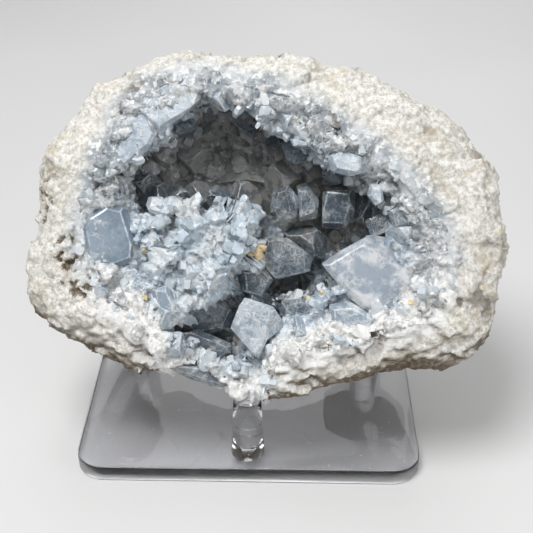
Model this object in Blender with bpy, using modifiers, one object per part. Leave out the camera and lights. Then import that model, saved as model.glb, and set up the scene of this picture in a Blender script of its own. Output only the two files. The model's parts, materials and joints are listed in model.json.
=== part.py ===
"""A celestite geode on a clear three-peg display stand.

The frame's origin is the middle of the stand's underside, with +Z up. The broken face of the geode
looks towards -Y and leans back. Forms of the geode are given in its own face frame: u runs to the
right, v up the broken face and w out of it, towards the viewer.
"""

import math
import random

import bmesh
import bpy
from mathutils import Matrix, Vector, noise

MM = 0.001

# Stand: a plate with three tapered pegs
PLATE_WIDTH = 131.0 * MM
PLATE_DEPTH = 79.2 * MM
PLATE_THICKNESS = 6.35 * MM
PLATE_CORNER = 11.0 * MM
EDGE_BEVEL = 0.5 * MM
CORNER_STEPS = 6
PEG_HEIGHT = 25.4 * MM
PEG_FOOT_RADIUS = 6.35 * MM
PEG_TOP_RADIUS = 5.15 * MM
PEG_SIDES = 18
PEG_INSET = 10.5 * MM
PEG_HALF_SPACING = 48.5 * MM

# Air left between pieces that touch
GAP = 0.3 * MM

# Corners closer than this are one, and faces within this angle are one flat face
MERGE_DISTANCE = 0.001 * MM
FLAT_ANGLE = math.radians(0.2)

# The plate's outline is welded within this distance; only edges sharper than this are rounded
WELD_DISTANCE = 0.02 * MM
SHARP_ANGLE = math.radians(50)

# Geode: its middle, and how far its broken face leans back
GEODE_MIDDLE = Vector((6.5, -2.9, 91.5)) * MM
FACE_LEAN = math.radians(32.0)
REST_HEIGHT = PLATE_THICKNESS + PEG_HEIGHT + 2 * GAP

# Where the underside comes down to each peg: how far behind the peg's middle, how wide, and the slopes
# that count as side and below
FOOT_SHAPES = {
    "peg_front": (9.1 * MM, 9.4 * MM, 0.4, 0.75),
    "peg_back_left": (0.0, 24.0 * MM, 0.1, 0.45),
    "peg_back_right": (0.0, 24.0 * MM, 0.1, 0.45),
}
FOOT_FLATNESS = 1.5

# Lumps of the broken stone: their size in mm, and how each finer layer of them fades
LUMP_SIZE = 22.0
LUMP_FADING = 0.9
LUMP_STEP = 2.1
LUMP_LAYERS = 3

# How far forms swell in front of the face's plane and behind it, in mm, and how square they are
STONE_HEIGHTS = (19, 56)
STONE_SQUARENESS = (0.72, 0.82)
HOLLOW_HEIGHTS = (60, 34)
HOLLOW_SQUARENESS = (0.3, 0.7)
VOID_HEIGHTS = (50, 27)
VOID_SQUARENESS = (0.4, 0.75)
POCKET_HEIGHTS = (50, 12)
POCKET_SQUARENESS = (0.4, 0.8)
STONE_LUMP = 2.6
HOLLOW_LUMP = 1.2
VOID_LUMP = 1.5
POCKET_LUMP = 1.0
CRUST_INSET = 1.2
BED_INSET = 0.7

# Cuts along each side of the cubes that the forms are blown up from
ROCK_CUTS = 14
CRUST_CUTS = 9
HOLLOW_CUTS = 8
VOID_CUTS = 5
POCKET_CUTS = 4

# Outlines across the face: pairs of an angle in degrees, from +u towards +v, and a radius in mm
ROCK_OUTLINE = (
    (3, 84), (10, 84), (17, 82), (23, 79), (30, 77), (37, 72), (44, 68), (51, 65), (61, 62.5),
    (66, 61), (70, 58.5), (76, 61), (92, 60), (100, 60), (109, 64), (116, 68), (123, 70),
    (131, 73), (141, 78), (150, 79), (155, 80), (162, 85), (171, 84), (176, 81.5), (181, 82),
    (192, 88.5), (201, 89.5), (207, 86), (213, 78.5), (220, 75), (228, 69), (237, 63), (246, 59.5),
    (257, 59), (270, 61.5), (284, 61.5), (296, 62), (308, 65.5), (316, 73), (321, 82),
    (328, 88), (333, 89.5), (340, 87), (348, 83), (356, 86),
)
HOLLOW_OUTLINE = (
    (0, 65.5), (15, 57.5), (30, 51), (45, 47), (60, 45.5), (72, 48), (82, 50), (95, 51),
    (104, 55), (114, 58), (123, 60), (132, 60), (142, 58), (152, 55), (161, 53), (169, 55),
    (180, 56.5), (191, 56), (201, 53.5), (215, 50), (228, 49.5), (238, 58), (251, 59),
    (268, 60), (276, 56), (283, 45), (298, 43.5), (314, 49.5), (327, 58), (336, 64.5), (347, 67),
)
VOID_OUTLINE = (
    (2, 44), (8, 41), (14, 36), (29, 27), (46, 24), (68, 23), (85, 27), (98, 29), (115, 35),
    (129, 34), (147, 35), (163, 38), (175, 42), (187, 40), (200, 35), (225, 32), (250, 34),
    (270, 38), (290, 42), (310, 46), (330, 50), (346, 53), (354, 49),
)
POCKET_OUTLINE = (
    (0, 34), (25, 26), (60, 17), (90, 15), (120, 14), (150, 17), (180, 19), (210, 18),
    (240, 15), (270, 15), (300, 14), (330, 24),
)
HOLLOW_MIDDLE = (-5.7, -4.4)
VOID_MIDDLE = (-8.0, 12.0)
POCKET_MIDDLE = (-14.6, -34.8)

# The crust's own surface sinks below the rock's face, fully within this share of the rim's radius
DISH_FLAT = 0.74
DISH_DEPTH = 10.0
DISH_LIMIT = 0.6

# The angle between the sloping end faces of a celestite crystal, and that of its side domes
END_HALF_ANGLE = math.radians(38.0)
DOME_SLOPE = math.radians(39.0)

# Where those faces start, as shares of a crystal's width or thickness; crystals this wide have them all
END_STAGGER = 0.12
TIP_DOME_SHARES = (0.12, 0.34)
TIP_DOME_DROP = 0.6
SIDE_DOME_SHARES = (0.72, 0.95)
SIDE_DOME_DROP = 0.36
FULL_WIDTH = 14

# Large crystals: (root u, v, w), (tip u, v, w), width, thickness, turn of the broad face in degrees
LARGE_CRYSTALS = (
    # along the upper left rim, edge on to the hollow
    ((-47, 29, 4), (-22, 47, 15), 13, 12, 20),
    ((-57, 14, 2), (-34, 33, 14), 14, 12, 10),
    ((-52, 36, 4), (-33, 52, 13), 12, 10, 0),
    ((-58, 2, 0), (-47, 22, 11), 12, 11, 30),
    # the smooth blue face at the left
    ((-56, -26, 0), (-53, 7, 9), 16, 12, 0),
    # the pale mass left of the middle
    ((-46, -30, -12), (-2, 3, 13), 19, 16, 15),
    ((-44, -36, -8), (-9, -13, 14), 17, 14, -20),
    ((-36, -20, -16), (-22, 6, 9), 15, 13, 40),
    ((-22, -26, -18), (-3, -4, 13), 15, 14, -35),
    ((-46, -14, -14), (-34, 7, 8), 13, 11, 5),
    ((-50, -12, -8), (-40, -2, 12), 12, 10, -15),
    # the fan at the lower left
    ((-44, -44, -6), (-26, -32, 12), 11, 7, 10),
    ((-46, -40, -6), (-29, -27, 13), 10, 7, -25),
    ((-40, -50, -6), (-27, -38, 10), 11, 7, 35),
    # dark clear crystals in the lower pocket
    ((-16, -46, -20), (-24, -30, 1), 17, 13, 25),
    ((-24, -52, -14), (-16, -41, 5), 19, 12, 60),
    ((-36, -50, -12), (-29, -43, 5), 13, 10, 0),
    ((2, -40, -18), (-6, -24, 3), 13, 10, -30),
    # the blue crystal at the bottom and its neighbours
    ((8, -50, -6), (-8, -26, 14), 15, 12, 10),
    ((22, -44, -8), (10, -30, 12), 14, 11, -20),
    ((32, -42, -8), (22, -28, 10), 12, 10, 35),
    ((6, -46, -12), (16, -24, 3), 11, 9, 0),
    # clear blades along the bottom edge
    ((-40, -51, -6), (-14, -56, 4), 12, 8, 0),
    ((-24, -55, -8), (-1, -57, 4), 11, 8, 30),
    # the big clear rhomb at the right
    ((62, -22, 0), (18, -14, 14), 30, 15, 0),
    ((58, -6, -6), (38, -2, 10), 15, 12, 20),
    ((56, -34, -4), (40, -32, 11), 13, 10, -10),
    # the dark cluster right of the middle
    ((40, 10, -24), (30, 8, 1), 16, 12, 20),
    ((28, 2, -26), (12, 9, 0), 17, 13, -15),
    ((22, -12, -22), (10, -4, 4), 18, 14, 30),
    ((30, -24, -18), (22, -10, 3), 14, 11, 0),
    ((4, -18, -24), (2, -10, 6), 14, 11, 15),
    ((44, -2, -20), (48, 4, 2), 12, 10, 40),
    # the crystals that look out of the hollow's right rim
    ((62, 6, -4), (47, 7, 9), 11, 9, 0),
    ((54, 22, -4), (38, 20, 9), 12, 8, 30),
    ((40, 34, -2), (26, 25, 9), 13, 8, 0),
    ((52, 12, -6), (44, 13, 10), 10, 8, -20),
    # the row across the dark back of the hollow
    ((-38, 0, -24), (-40, 12, -2), 13, 10, 0),
    ((-24, 4, -30), (-26, 13, -7), 13, 10, 20),
    ((-8, 2, -32), (-10, 13, -8), 14, 11, -20),
    ((8, 14, -32), (4, 20, -12), 15, 11, 10),
    ((-30, 26, -30), (-26, 26, -14), 13, 10, 45),
    # along the top rim
    ((-18, 52, 0), (-14, 39, 12), 11, 8, 20),
    ((-4, 50, 0), (-2, 37, 12), 12, 8, -10),
    ((10, 46, 0), (8, 32, 11), 12, 8, 0),
    ((24, 42, 2), (14, 28, 12), 11, 7, 25),
)

# Small crystals, in mm and shares of their size: those that line the hollow, and two rings of them
# that stud the crust's edge
LINING_COUNT = 28
LINING_SIZE = (8.0, 13.0)
LINING_THICKNESS = 0.75
LINING_ROOT = 5.0
LINING_REACH = 0.62
LINING_STRAY = 0.45
LINING_LIMIT = 0.15
LINING_FOCUS = 8.0
RING_COUNT = 22
RING_SHARES = (0.93, 0.76)
RING_SIZE = (9.0, 13.0)
RING_THICKNESS = 0.7
RING_ROOT = 0.7
RING_REACH = 0.45
RING_STRAY = 0.5
RING_LEAN = 0.8
RING_UNEVENNESS = 0.35
RING_SHARE_STRAY = (-0.06, 0.04)
RING_TURN = 50
SEED = 17


def named_collection(name):
    made = bpy.data.collections.new(name)
    bpy.context.scene.collection.children.link(made)
    return made


def new_material(name, colour, roughness, transmission=0.0, ior=1.5):
    """A Principled BSDF of one colour."""
    made = bpy.data.materials.new(name)
    made.use_nodes = True
    shader = made.node_tree.nodes["Principled BSDF"]
    shader.inputs["Base Color"].default_value = (*colour, 1.0)
    shader.inputs["Roughness"].default_value = roughness
    shader.inputs["Metallic"].default_value = 0.0
    shader.inputs["Transmission Weight"].default_value = transmission
    shader.inputs["IOR"].default_value = ior
    return made


def add_object(name, data, collection, material=None):
    made = bpy.data.objects.new(name, data)
    collection.objects.link(made)
    if material:
        data.materials.append(material)
    return made


def make_cutter(obj):
    obj.hide_render = True
    obj.display_type = "WIRE"


def radius_at(outline, angle):
    """The outline's radius at an angle in degrees, on a smooth closed curve through its points."""
    angle %= 360.0
    count = len(outline)
    after = next((i for i, (at, _) in enumerate(outline) if at > angle), count)
    picked = []
    for step in (-2, -1, 0, 1):
        turns, index = divmod(after + step, count)
        picked.append((outline[index][0] + 360.0 * turns, outline[index][1]))
    (a0, r0), (a1, r1), (a2, r2), (a3, r3) = picked
    share = (angle - a1) / (a2 - a1)
    slope_in = (r2 - r0) / (a2 - a0) * (a2 - a1)
    slope_out = (r3 - r1) / (a3 - a1) * (a2 - a1)
    square, cube = share ** 2, share ** 3
    start = (2 * cube - 3 * square + 1) * r1 + (cube - 2 * square + share) * slope_in
    end = (3 * square - 2 * cube) * r2 + (cube - square) * slope_out
    return start + end


def turn_to_world(vector):
    """A vector of the face frame, turned into the world's axes."""
    u, v, w = vector
    return Matrix.Rotation(-FACE_LEAN, 3, "X") @ Vector((u, -w, v))


def face_to_world(point):
    """A point of the face frame, in mm, as a place in metres."""
    return GEODE_MIDDLE + turn_to_world(point) * MM


def dish_share(place):
    """How far into the broken face a place lies: 0 from the hollow's rim outwards, 1 well inside."""
    from_middle = place.xy - Vector(HOLLOW_MIDDLE)
    angle = math.degrees(math.atan2(from_middle.y, from_middle.x))
    share = (from_middle.length / radius_at(HOLLOW_OUTLINE, angle) - DISH_FLAT) / (1 - DISH_FLAT)
    share = max(0.0, min(1.0, share))
    return 1 - share * share * (3 - 2 * share)


class Form:
    """A lumpy rounded solid: an outline across the face, with its own swell in front and behind."""

    def __init__(self, outline, middle, heights, squareness, inset=0.0, lump=0.0, dish=0.0):
        self.outline, self.middle = outline, middle
        self.front, self.back = heights
        self.front_power, self.back_power = squareness
        self.inset, self.lump, self.dish = inset, lump, dish

    def point(self, direction):
        """Where a ray of this direction, from the form's middle, leaves it, in the face frame."""
        u, v, w = direction
        angle = math.degrees(math.atan2(v, u))
        rise = math.asin(max(-1.0, min(1.0, w)))
        power = self.front_power if w > 0 else self.back_power
        height = self.front if w > 0 else self.back
        spread = math.cos(rise) ** power * radius_at(self.outline, angle)
        depth = math.copysign(abs(math.sin(rise)) ** power * height, w)
        place = Vector((
            spread * math.cos(math.radians(angle)),
            spread * math.sin(math.radians(angle)),
            depth,
        ))
        lump = noise.fractal(place / LUMP_SIZE, LUMP_FADING, LUMP_STEP, LUMP_LAYERS)
        swell = self.lump * lump - self.inset
        place += place.normalized() * swell
        if w > 0:
            place.z -= self.sink(place)
        return place + Vector((*self.middle, 0.0))

    def sink(self, place):
        """How far the dish lowers the broken face here."""
        return min(self.dish * dish_share(place), DISH_LIMIT * place.z)

    def height(self, place):
        """How far the broken face stands out at this u and v, its lumps aside."""
        angle = math.degrees(math.atan2(place.y, place.x))
        share = min(1.0, place.xy.length / radius_at(self.outline, angle))
        rise = math.sqrt(1 - share ** (2 / self.front_power))
        top = Vector((place.x, place.y, rise ** self.front_power * self.front))
        return top.z - self.sink(top)


ROCK = Form(ROCK_OUTLINE, (0, 0), STONE_HEIGHTS, STONE_SQUARENESS, lump=STONE_LUMP)
CRUST = Form(
    ROCK_OUTLINE, (0, 0), STONE_HEIGHTS, STONE_SQUARENESS,
    inset=CRUST_INSET, lump=STONE_LUMP, dish=DISH_DEPTH,
)
HOLLOW = Form(HOLLOW_OUTLINE, HOLLOW_MIDDLE, HOLLOW_HEIGHTS, HOLLOW_SQUARENESS, lump=HOLLOW_LUMP)
CRUST_BED = Form(
    HOLLOW_OUTLINE, HOLLOW_MIDDLE, HOLLOW_HEIGHTS, HOLLOW_SQUARENESS,
    inset=BED_INSET, lump=HOLLOW_LUMP,
)
VOID = Form(VOID_OUTLINE, VOID_MIDDLE, VOID_HEIGHTS, VOID_SQUARENESS, lump=VOID_LUMP)
POCKET = Form(POCKET_OUTLINE, POCKET_MIDDLE, POCKET_HEIGHTS, POCKET_SQUARENESS, lump=POCKET_LUMP)


def peg_places():
    """Each peg's name and the middle of its foot on the plate."""
    reach = PLATE_DEPTH / 2 - PEG_INSET
    return (
        ("peg_front", Vector((0.0, -reach))),
        ("peg_back_left", Vector((-PEG_HALF_SPACING, reach))),
        ("peg_back_right", Vector((PEG_HALF_SPACING, reach))),
    )


def settle_on_pegs(place, outward):
    """Draws the geode's underside down to the pegs, and keeps all of it above them."""
    share = 0.0
    for name, foot in peg_places():
        behind, reach, side_slope, under_slope = FOOT_SHAPES[name]
        away = (place.xy - foot - Vector((0.0, behind))).length
        pull = FOOT_FLATNESS * math.exp(-(away / reach) ** 2)
        facing_down = max(0.0, min(1.0, (-outward.z - side_slope) / (under_slope - side_slope)))
        share = max(share, min(1.0, pull) * facing_down)
    place.z -= (place.z - REST_HEIGHT) * share
    place.z = max(place.z, REST_HEIGHT)
    return place


def form_mesh(name, form, cuts, settle=False):
    """The form's surface, as a cube cut into a grid, blown up to a ball and moved out to the form."""
    surface = bmesh.new()
    bmesh.ops.create_cube(surface, size=2.0)
    bmesh.ops.subdivide_edges(surface, edges=surface.edges, cuts=cuts, use_grid_fill=True)
    for vertex in surface.verts:
        ball = Vector(math.tan(side * math.pi / 4) for side in vertex.co).normalized()
        vertex.co = face_to_world(form.point(ball))
        if settle:
            vertex.co = settle_on_pegs(vertex.co, turn_to_world(ball))
    bmesh.ops.triangulate(surface, faces=surface.faces)
    bmesh.ops.recalc_face_normals(surface, faces=surface.faces)
    mesh = bpy.data.meshes.new(name)
    surface.to_mesh(mesh)
    surface.free()
    return mesh


def cut_by(crystal, point, normal):
    """Cuts the crystal by a plane and closes it there."""
    geometry = crystal.verts[:] + crystal.edges[:] + crystal.faces[:]
    cut = bmesh.ops.bisect_plane(
        crystal, geom=geometry, dist=1e-7, plane_co=point, plane_no=normal, clear_outer=True
    )
    edges = [part for part in cut["geom_cut"] if isinstance(part, bmesh.types.BMEdge)]
    if edges:
        bmesh.ops.contextual_create(crystal, geom=edges)


def crystal_form(length, width, thickness, faces, random_source):
    """One celestite crystal in mm, root at the origin and tip along +X, broad face along +Z."""
    crystal = bmesh.new()
    bmesh.ops.create_cube(crystal, size=1.0)
    bmesh.ops.scale(crystal, verts=crystal.verts, vec=(length, width, thickness))
    bmesh.ops.translate(crystal, verts=crystal.verts, vec=(length / 2, 0, 0))
    ahead, aside = math.sin(END_HALF_ANGLE), math.cos(END_HALF_ANGLE)
    for side in (-1, 1):
        start = length - random_source.uniform(0.0, END_STAGGER) * width
        cut_by(crystal, (start, 0, 0), (ahead, side * aside, 0))
    if faces > 2:
        for side in (-1, 1):
            height = thickness * random_source.uniform(*TIP_DOME_SHARES)
            slope = (math.cos(DOME_SLOPE), 0, side * math.sin(DOME_SLOPE))
            cut_by(crystal, (length, 0, side * height * TIP_DOME_DROP), slope)
    if faces > 4:
        for side in (-1, 1):
            for turn in (-1, 1):
                reach = width / 2 * random_source.uniform(*SIDE_DOME_SHARES)
                slope = (0, side * math.cos(DOME_SLOPE), turn * math.sin(DOME_SLOPE))
                cut_by(crystal, (0, side * reach, turn * thickness * SIDE_DOME_DROP), slope)
    return crystal


def add_crystal(group, root, tip, width, thickness, turn, faces, random_source):
    """Adds one crystal to the group's mesh, from its root to its tip in the face frame."""
    along = Vector(tip) - Vector(root)
    crystal = crystal_form(along.length, width, thickness, faces, random_source)
    forward = along.normalized()
    broad = Vector((0, 0, 1)) - forward * forward.z
    if broad.length < 0.2:
        broad = Vector((0, 1, 0)) - forward * forward.y
    broad = Matrix.Rotation(math.radians(turn), 3, forward) @ broad.normalized()
    across = broad.cross(forward)
    frame = Matrix((forward, across, broad)).transposed()
    for vertex in crystal.verts:
        vertex.co = face_to_world(Vector(root) + frame @ vertex.co)
    bmesh.ops.triangulate(crystal, faces=crystal.faces)
    bmesh.ops.recalc_face_normals(crystal, faces=crystal.faces)
    part = bpy.data.meshes.new("crystal_part")
    crystal.to_mesh(part)
    crystal.free()
    group.from_mesh(part)
    bpy.data.meshes.remove(part)


def spiral_directions(count):
    """Directions spread evenly over a ball."""
    golden = math.pi * (3 - math.sqrt(5))
    for index in range(count):
        height = 1 - 2 * (index + 0.5) / count
        ring = math.sqrt(1 - height ** 2)
        yield Vector((ring * math.cos(golden * index), ring * math.sin(golden * index), height))


def lining_crystals(random_source):
    """Roots and tips of the small crystals on the hollow's wall, which lean towards its mouth."""
    focus = Vector((*VOID_MIDDLE, LINING_FOCUS))
    behind = (way for way in spiral_directions(2 * LINING_COUNT) if way.z < LINING_LIMIT)
    for way in behind:
        wall = VOID.point(way)
        inward = (focus - wall).normalized()
        stray = Vector(random_source.uniform(-LINING_STRAY, LINING_STRAY) for _ in range(3))
        inward = (inward + stray).normalized()
        size = random_source.uniform(*LINING_SIZE)
        yield wall - inward * LINING_ROOT, wall + inward * size * LINING_REACH, size


def ring_crystals(random_source):
    """Roots and tips of the small crystals round the crust's edge, which point at the hollow."""
    for index in range(2 * RING_COUNT):
        uneven = random_source.uniform(-RING_UNEVENNESS, RING_UNEVENNESS)
        angle = 180.0 * (index + uneven) / RING_COUNT
        heading = Vector((math.cos(math.radians(angle)), math.sin(math.radians(angle)), 0))
        share = RING_SHARES[index % 2] + random_source.uniform(*RING_SHARE_STRAY)
        place = Vector((*HOLLOW_MIDDLE, 0)) + heading * share * radius_at(HOLLOW_OUTLINE, angle)
        place.z = CRUST.height(place)
        stray = Vector(random_source.uniform(-RING_STRAY, RING_STRAY) for _ in range(3))
        forward = (stray + Vector((0, 0, 1.0)) - heading * RING_LEAN).normalized()
        size = random_source.uniform(*RING_SIZE)
        yield place - forward * size * RING_ROOT, place + forward * size * RING_REACH, size


def crystal_group(collection):
    """Every crystal, as one mesh of overlapping closed bodies."""
    random_source = random.Random(SEED)
    group = bmesh.new()
    for root, tip, width, thickness, turn in LARGE_CRYSTALS:
        faces = 6 if width >= FULL_WIDTH else 4
        add_crystal(group, root, tip, width, thickness, turn, faces, random_source)
    for root, tip, size in lining_crystals(random_source):
        turn = random_source.uniform(0, 180)
        add_crystal(group, root, tip, size, size * LINING_THICKNESS, turn, 2, random_source)
    for root, tip, size in ring_crystals(random_source):
        turn = random_source.uniform(-RING_TURN, RING_TURN)
        add_crystal(group, root, tip, size, size * RING_THICKNESS, turn, 2, random_source)
    mesh = bpy.data.meshes.new("crystals")
    group.to_mesh(mesh)
    group.free()
    made = add_object("crystals", mesh, collection)
    make_cutter(made)
    return made


def boolean(obj, operation, other, overlapping=False):
    modifier = obj.modifiers.new(f"{operation.lower()}_{other.name}", "BOOLEAN")
    modifier.operation = operation
    modifier.solver = "EXACT"
    modifier.object = other
    modifier.use_self = overlapping


def cutter(name, form, cuts, collection):
    made = add_object(name, form_mesh(name, form, cuts), collection)
    make_cutter(made)
    return made


def body_of(face):
    """Every face that can be reached from this one across edges."""
    reached = {face}
    waiting = [face]
    while waiting:
        for edge in waiting.pop().edges:
            fresh = [other for other in edge.link_faces if other not in reached]
            reached.update(fresh)
            waiting.extend(fresh)
    return reached


def finish_solid(obj):
    """Applies the modifiers, keeps the largest body alone and makes each flat face whole.

    The bodies dropped are the small pockets that crystals close off between them.
    """
    depsgraph = bpy.context.evaluated_depsgraph_get()
    mesh = bpy.data.meshes.new_from_object(obj.evaluated_get(depsgraph))
    solid = bmesh.new()
    solid.from_mesh(mesh)
    largest = set()
    left = set(solid.faces)
    while left:
        body = body_of(left.pop())
        left -= body
        largest = max(largest, body, key=len)
    loose = [face for face in solid.faces if face not in largest]
    bmesh.ops.delete(solid, geom=loose, context="FACES")
    bmesh.ops.remove_doubles(solid, verts=solid.verts, dist=MERGE_DISTANCE)
    bmesh.ops.dissolve_limit(
        solid, angle_limit=FLAT_ANGLE, verts=solid.verts, edges=solid.edges
    )
    bmesh.ops.triangulate(solid, faces=solid.faces)
    solid.to_mesh(mesh)
    solid.free()
    obj.modifiers.clear()
    obj.data = mesh


def build_rock(parts, cutters):
    """The rock: a lumpy nodule with the hollow cut into its broken face."""
    stone = new_material("pale_rock", (0.72, 0.70, 0.64), 0.9)
    mesh = form_mesh("geode_rock", ROCK, ROCK_CUTS, settle=True)
    rock = add_object("geode_rock", mesh, parts, stone)
    boolean(rock, "DIFFERENCE", cutter("rock_hollow", HOLLOW, HOLLOW_CUTS, cutters))
    finish_solid(rock)
    return rock


def build_crust(parts, cutters):
    """The crust of crystals that lines the hollow, one solid with the void left inside it."""
    clear = new_material("celestite", (0.62, 0.72, 0.80), 0.12, transmission=0.8, ior=1.62)
    mesh = form_mesh("crystal_crust", CRUST, CRUST_CUTS, settle=True)
    crust = add_object("crystal_crust", mesh, parts, clear)
    boolean(crust, "DIFFERENCE", cutter("void", VOID, VOID_CUTS, cutters))
    boolean(crust, "DIFFERENCE", cutter("pocket", POCKET, POCKET_CUTS, cutters))
    boolean(crust, "UNION", crystal_group(cutters), overlapping=True)
    boolean(crust, "INTERSECT", cutter("crust_bed", CRUST_BED, HOLLOW_CUTS, cutters))
    finish_solid(crust)
    return crust


def plate_outline():
    """The plate's rounded rectangle, anticlockwise."""
    reach_x, reach_y = PLATE_WIDTH / 2 - PLATE_CORNER, PLATE_DEPTH / 2 - PLATE_CORNER
    for quarter, (side_x, side_y) in enumerate(((1, 1), (-1, 1), (-1, -1), (1, -1))):
        for step in range(CORNER_STEPS + 1):
            angle = math.radians(90 * (quarter + step / CORNER_STEPS))
            yield (
                side_x * reach_x + PLATE_CORNER * math.cos(angle),
                side_y * reach_y + PLATE_CORNER * math.sin(angle),
            )


def build_plate(parts, clear):
    points = list(plate_outline())
    curve = bpy.data.curves.new("stand_plate", "CURVE")
    curve.dimensions = "2D"
    curve.fill_mode = "BOTH"
    curve.extrude = PLATE_THICKNESS / 2
    spline = curve.splines.new("POLY")
    spline.points.add(len(points) - 1)
    for point, (x, y) in zip(spline.points, points):
        point.co = (x, y, 0.0, 1.0)
    spline.use_cyclic_u = True
    plate = add_object("stand_plate", curve, parts, clear)
    plate.location.z = PLATE_THICKNESS / 2
    weld = plate.modifiers.new("weld", "WELD")
    weld.merge_threshold = WELD_DISTANCE
    bevel = plate.modifiers.new("edges", "BEVEL")
    bevel.width = EDGE_BEVEL
    bevel.segments = 1
    bevel.limit_method = "ANGLE"
    bevel.angle_limit = SHARP_ANGLE
    return plate


def build_peg(name, foot, parts, clear):
    """A tapered acrylic peg that stands on the plate."""
    peg_mesh = bpy.data.meshes.new(name)
    shape = bmesh.new()
    bmesh.ops.create_cone(
        shape,
        cap_ends=True,
        segments=PEG_SIDES,
        radius1=PEG_FOOT_RADIUS,
        radius2=PEG_TOP_RADIUS,
        depth=PEG_HEIGHT,
    )
    shape.to_mesh(peg_mesh)
    shape.free()
    peg_mesh.shade_smooth()
    peg_mesh.set_sharp_from_angle(angle=SHARP_ANGLE)
    peg = add_object(name, peg_mesh, parts, clear)
    peg.location = (foot.x, foot.y, PLATE_THICKNESS + GAP + PEG_HEIGHT / 2)
    bevel = peg.modifiers.new("edges", "BEVEL")
    bevel.width = EDGE_BEVEL
    bevel.segments = 1
    bevel.limit_method = "ANGLE"
    bevel.angle_limit = SHARP_ANGLE
    return peg


def main():
    for obj in list(bpy.data.objects):
        bpy.data.objects.remove(obj)
    parts = named_collection("celestite_geode")
    cutters = named_collection("cutters")
    clear = new_material("clear_acrylic", (0.95, 0.96, 0.98), 0.03, transmission=1.0, ior=1.49)
    build_rock(parts, cutters)
    build_crust(parts, cutters)
    build_plate(parts, clear)
    for name, foot in peg_places():
        build_peg(name, foot, parts, clear)


main()
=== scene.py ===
"""The looks of a celestite geode on a clear three-peg stand.

Sizes are in millimetres times MM. Forms of the geode are placed in its own face frame: u runs to the
right, v up the broken face and w out of it, towards the viewer.
"""

import json
import math
import random

import bmesh
import bpy
import numpy as np
from bpy.props import FloatProperty, FloatVectorProperty, IntProperty, PointerProperty
from mathutils import Matrix, Vector, noise as lattice

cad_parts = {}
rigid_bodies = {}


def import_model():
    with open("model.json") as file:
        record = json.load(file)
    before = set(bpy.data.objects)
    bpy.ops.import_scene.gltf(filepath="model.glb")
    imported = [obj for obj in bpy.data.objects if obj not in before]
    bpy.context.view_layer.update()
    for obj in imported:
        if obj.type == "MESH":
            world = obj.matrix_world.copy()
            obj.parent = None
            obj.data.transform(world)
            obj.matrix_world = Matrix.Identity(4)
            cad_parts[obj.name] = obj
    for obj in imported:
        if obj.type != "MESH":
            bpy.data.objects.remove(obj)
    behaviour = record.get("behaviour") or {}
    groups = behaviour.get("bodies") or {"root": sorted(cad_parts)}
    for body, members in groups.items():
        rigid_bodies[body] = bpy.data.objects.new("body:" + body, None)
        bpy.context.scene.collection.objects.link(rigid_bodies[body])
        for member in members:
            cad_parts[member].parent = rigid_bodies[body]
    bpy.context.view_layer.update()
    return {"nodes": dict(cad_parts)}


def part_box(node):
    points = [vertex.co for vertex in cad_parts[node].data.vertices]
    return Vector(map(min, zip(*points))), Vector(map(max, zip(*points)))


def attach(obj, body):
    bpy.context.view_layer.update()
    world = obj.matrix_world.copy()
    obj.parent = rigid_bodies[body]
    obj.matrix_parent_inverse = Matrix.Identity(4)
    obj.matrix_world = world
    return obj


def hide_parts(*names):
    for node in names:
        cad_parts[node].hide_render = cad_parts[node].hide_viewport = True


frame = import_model()

bl_info = {
    "name": "Celestite Geode",
    "version": (1, 0, 0),
    "blender": (4, 5, 0),
    "location": "View3D > Sidebar > Geode",
    "description": "Builds a celestite geode on a clear stand",
    "category": "Object",
}

MM = 0.001
GROWN_PIECES = (
    "crust", "broken_mass", "druse", "mass_blades", "milky_crystals", "clear_crystals", "veiled_crystals",
    "smooth_crystal",
)
BODY = "root"

# The geode's middle and the lean of its broken face
GEODE_MIDDLE = Vector((6.5, -2.9, 91.5)) * MM
FACE_LEAN = math.radians(32.0)
END_HALF_ANGLE = math.radians(38.0)
DOME_SLOPE = math.radians(39.0)

# Stand: its pegs' feet on the plate, and where the geode rests on them
PLATE_HEIGHT = 6.35 * MM
REST_HEIGHT = 32.35 * MM
PEG_FEET = (Vector((0.0, -29.1)) * MM, Vector((-48.5, 29.1)) * MM, Vector((48.5, 29.1)) * MM)
PEG_OUTLINE = (
    (6.10, 0.05), (6.35, 0.30), (6.06, 6.60), (5.92, 6.80), (6.00, 7.00), (5.66, 15.20), (5.55, 15.35),
    (5.62, 15.50), (5.22, 25.00), (5.05, 25.50), (4.60, 25.75), (4.30, 25.70),
)
FRONT_FOOT = Vector((0.0, -20.0)) * MM
FOOT_REACH = 9.4 * MM
FOOT_FLATNESS = 1.5
SIDE_SLOPE = 0.4
UNDER_SLOPE = 0.75

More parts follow.
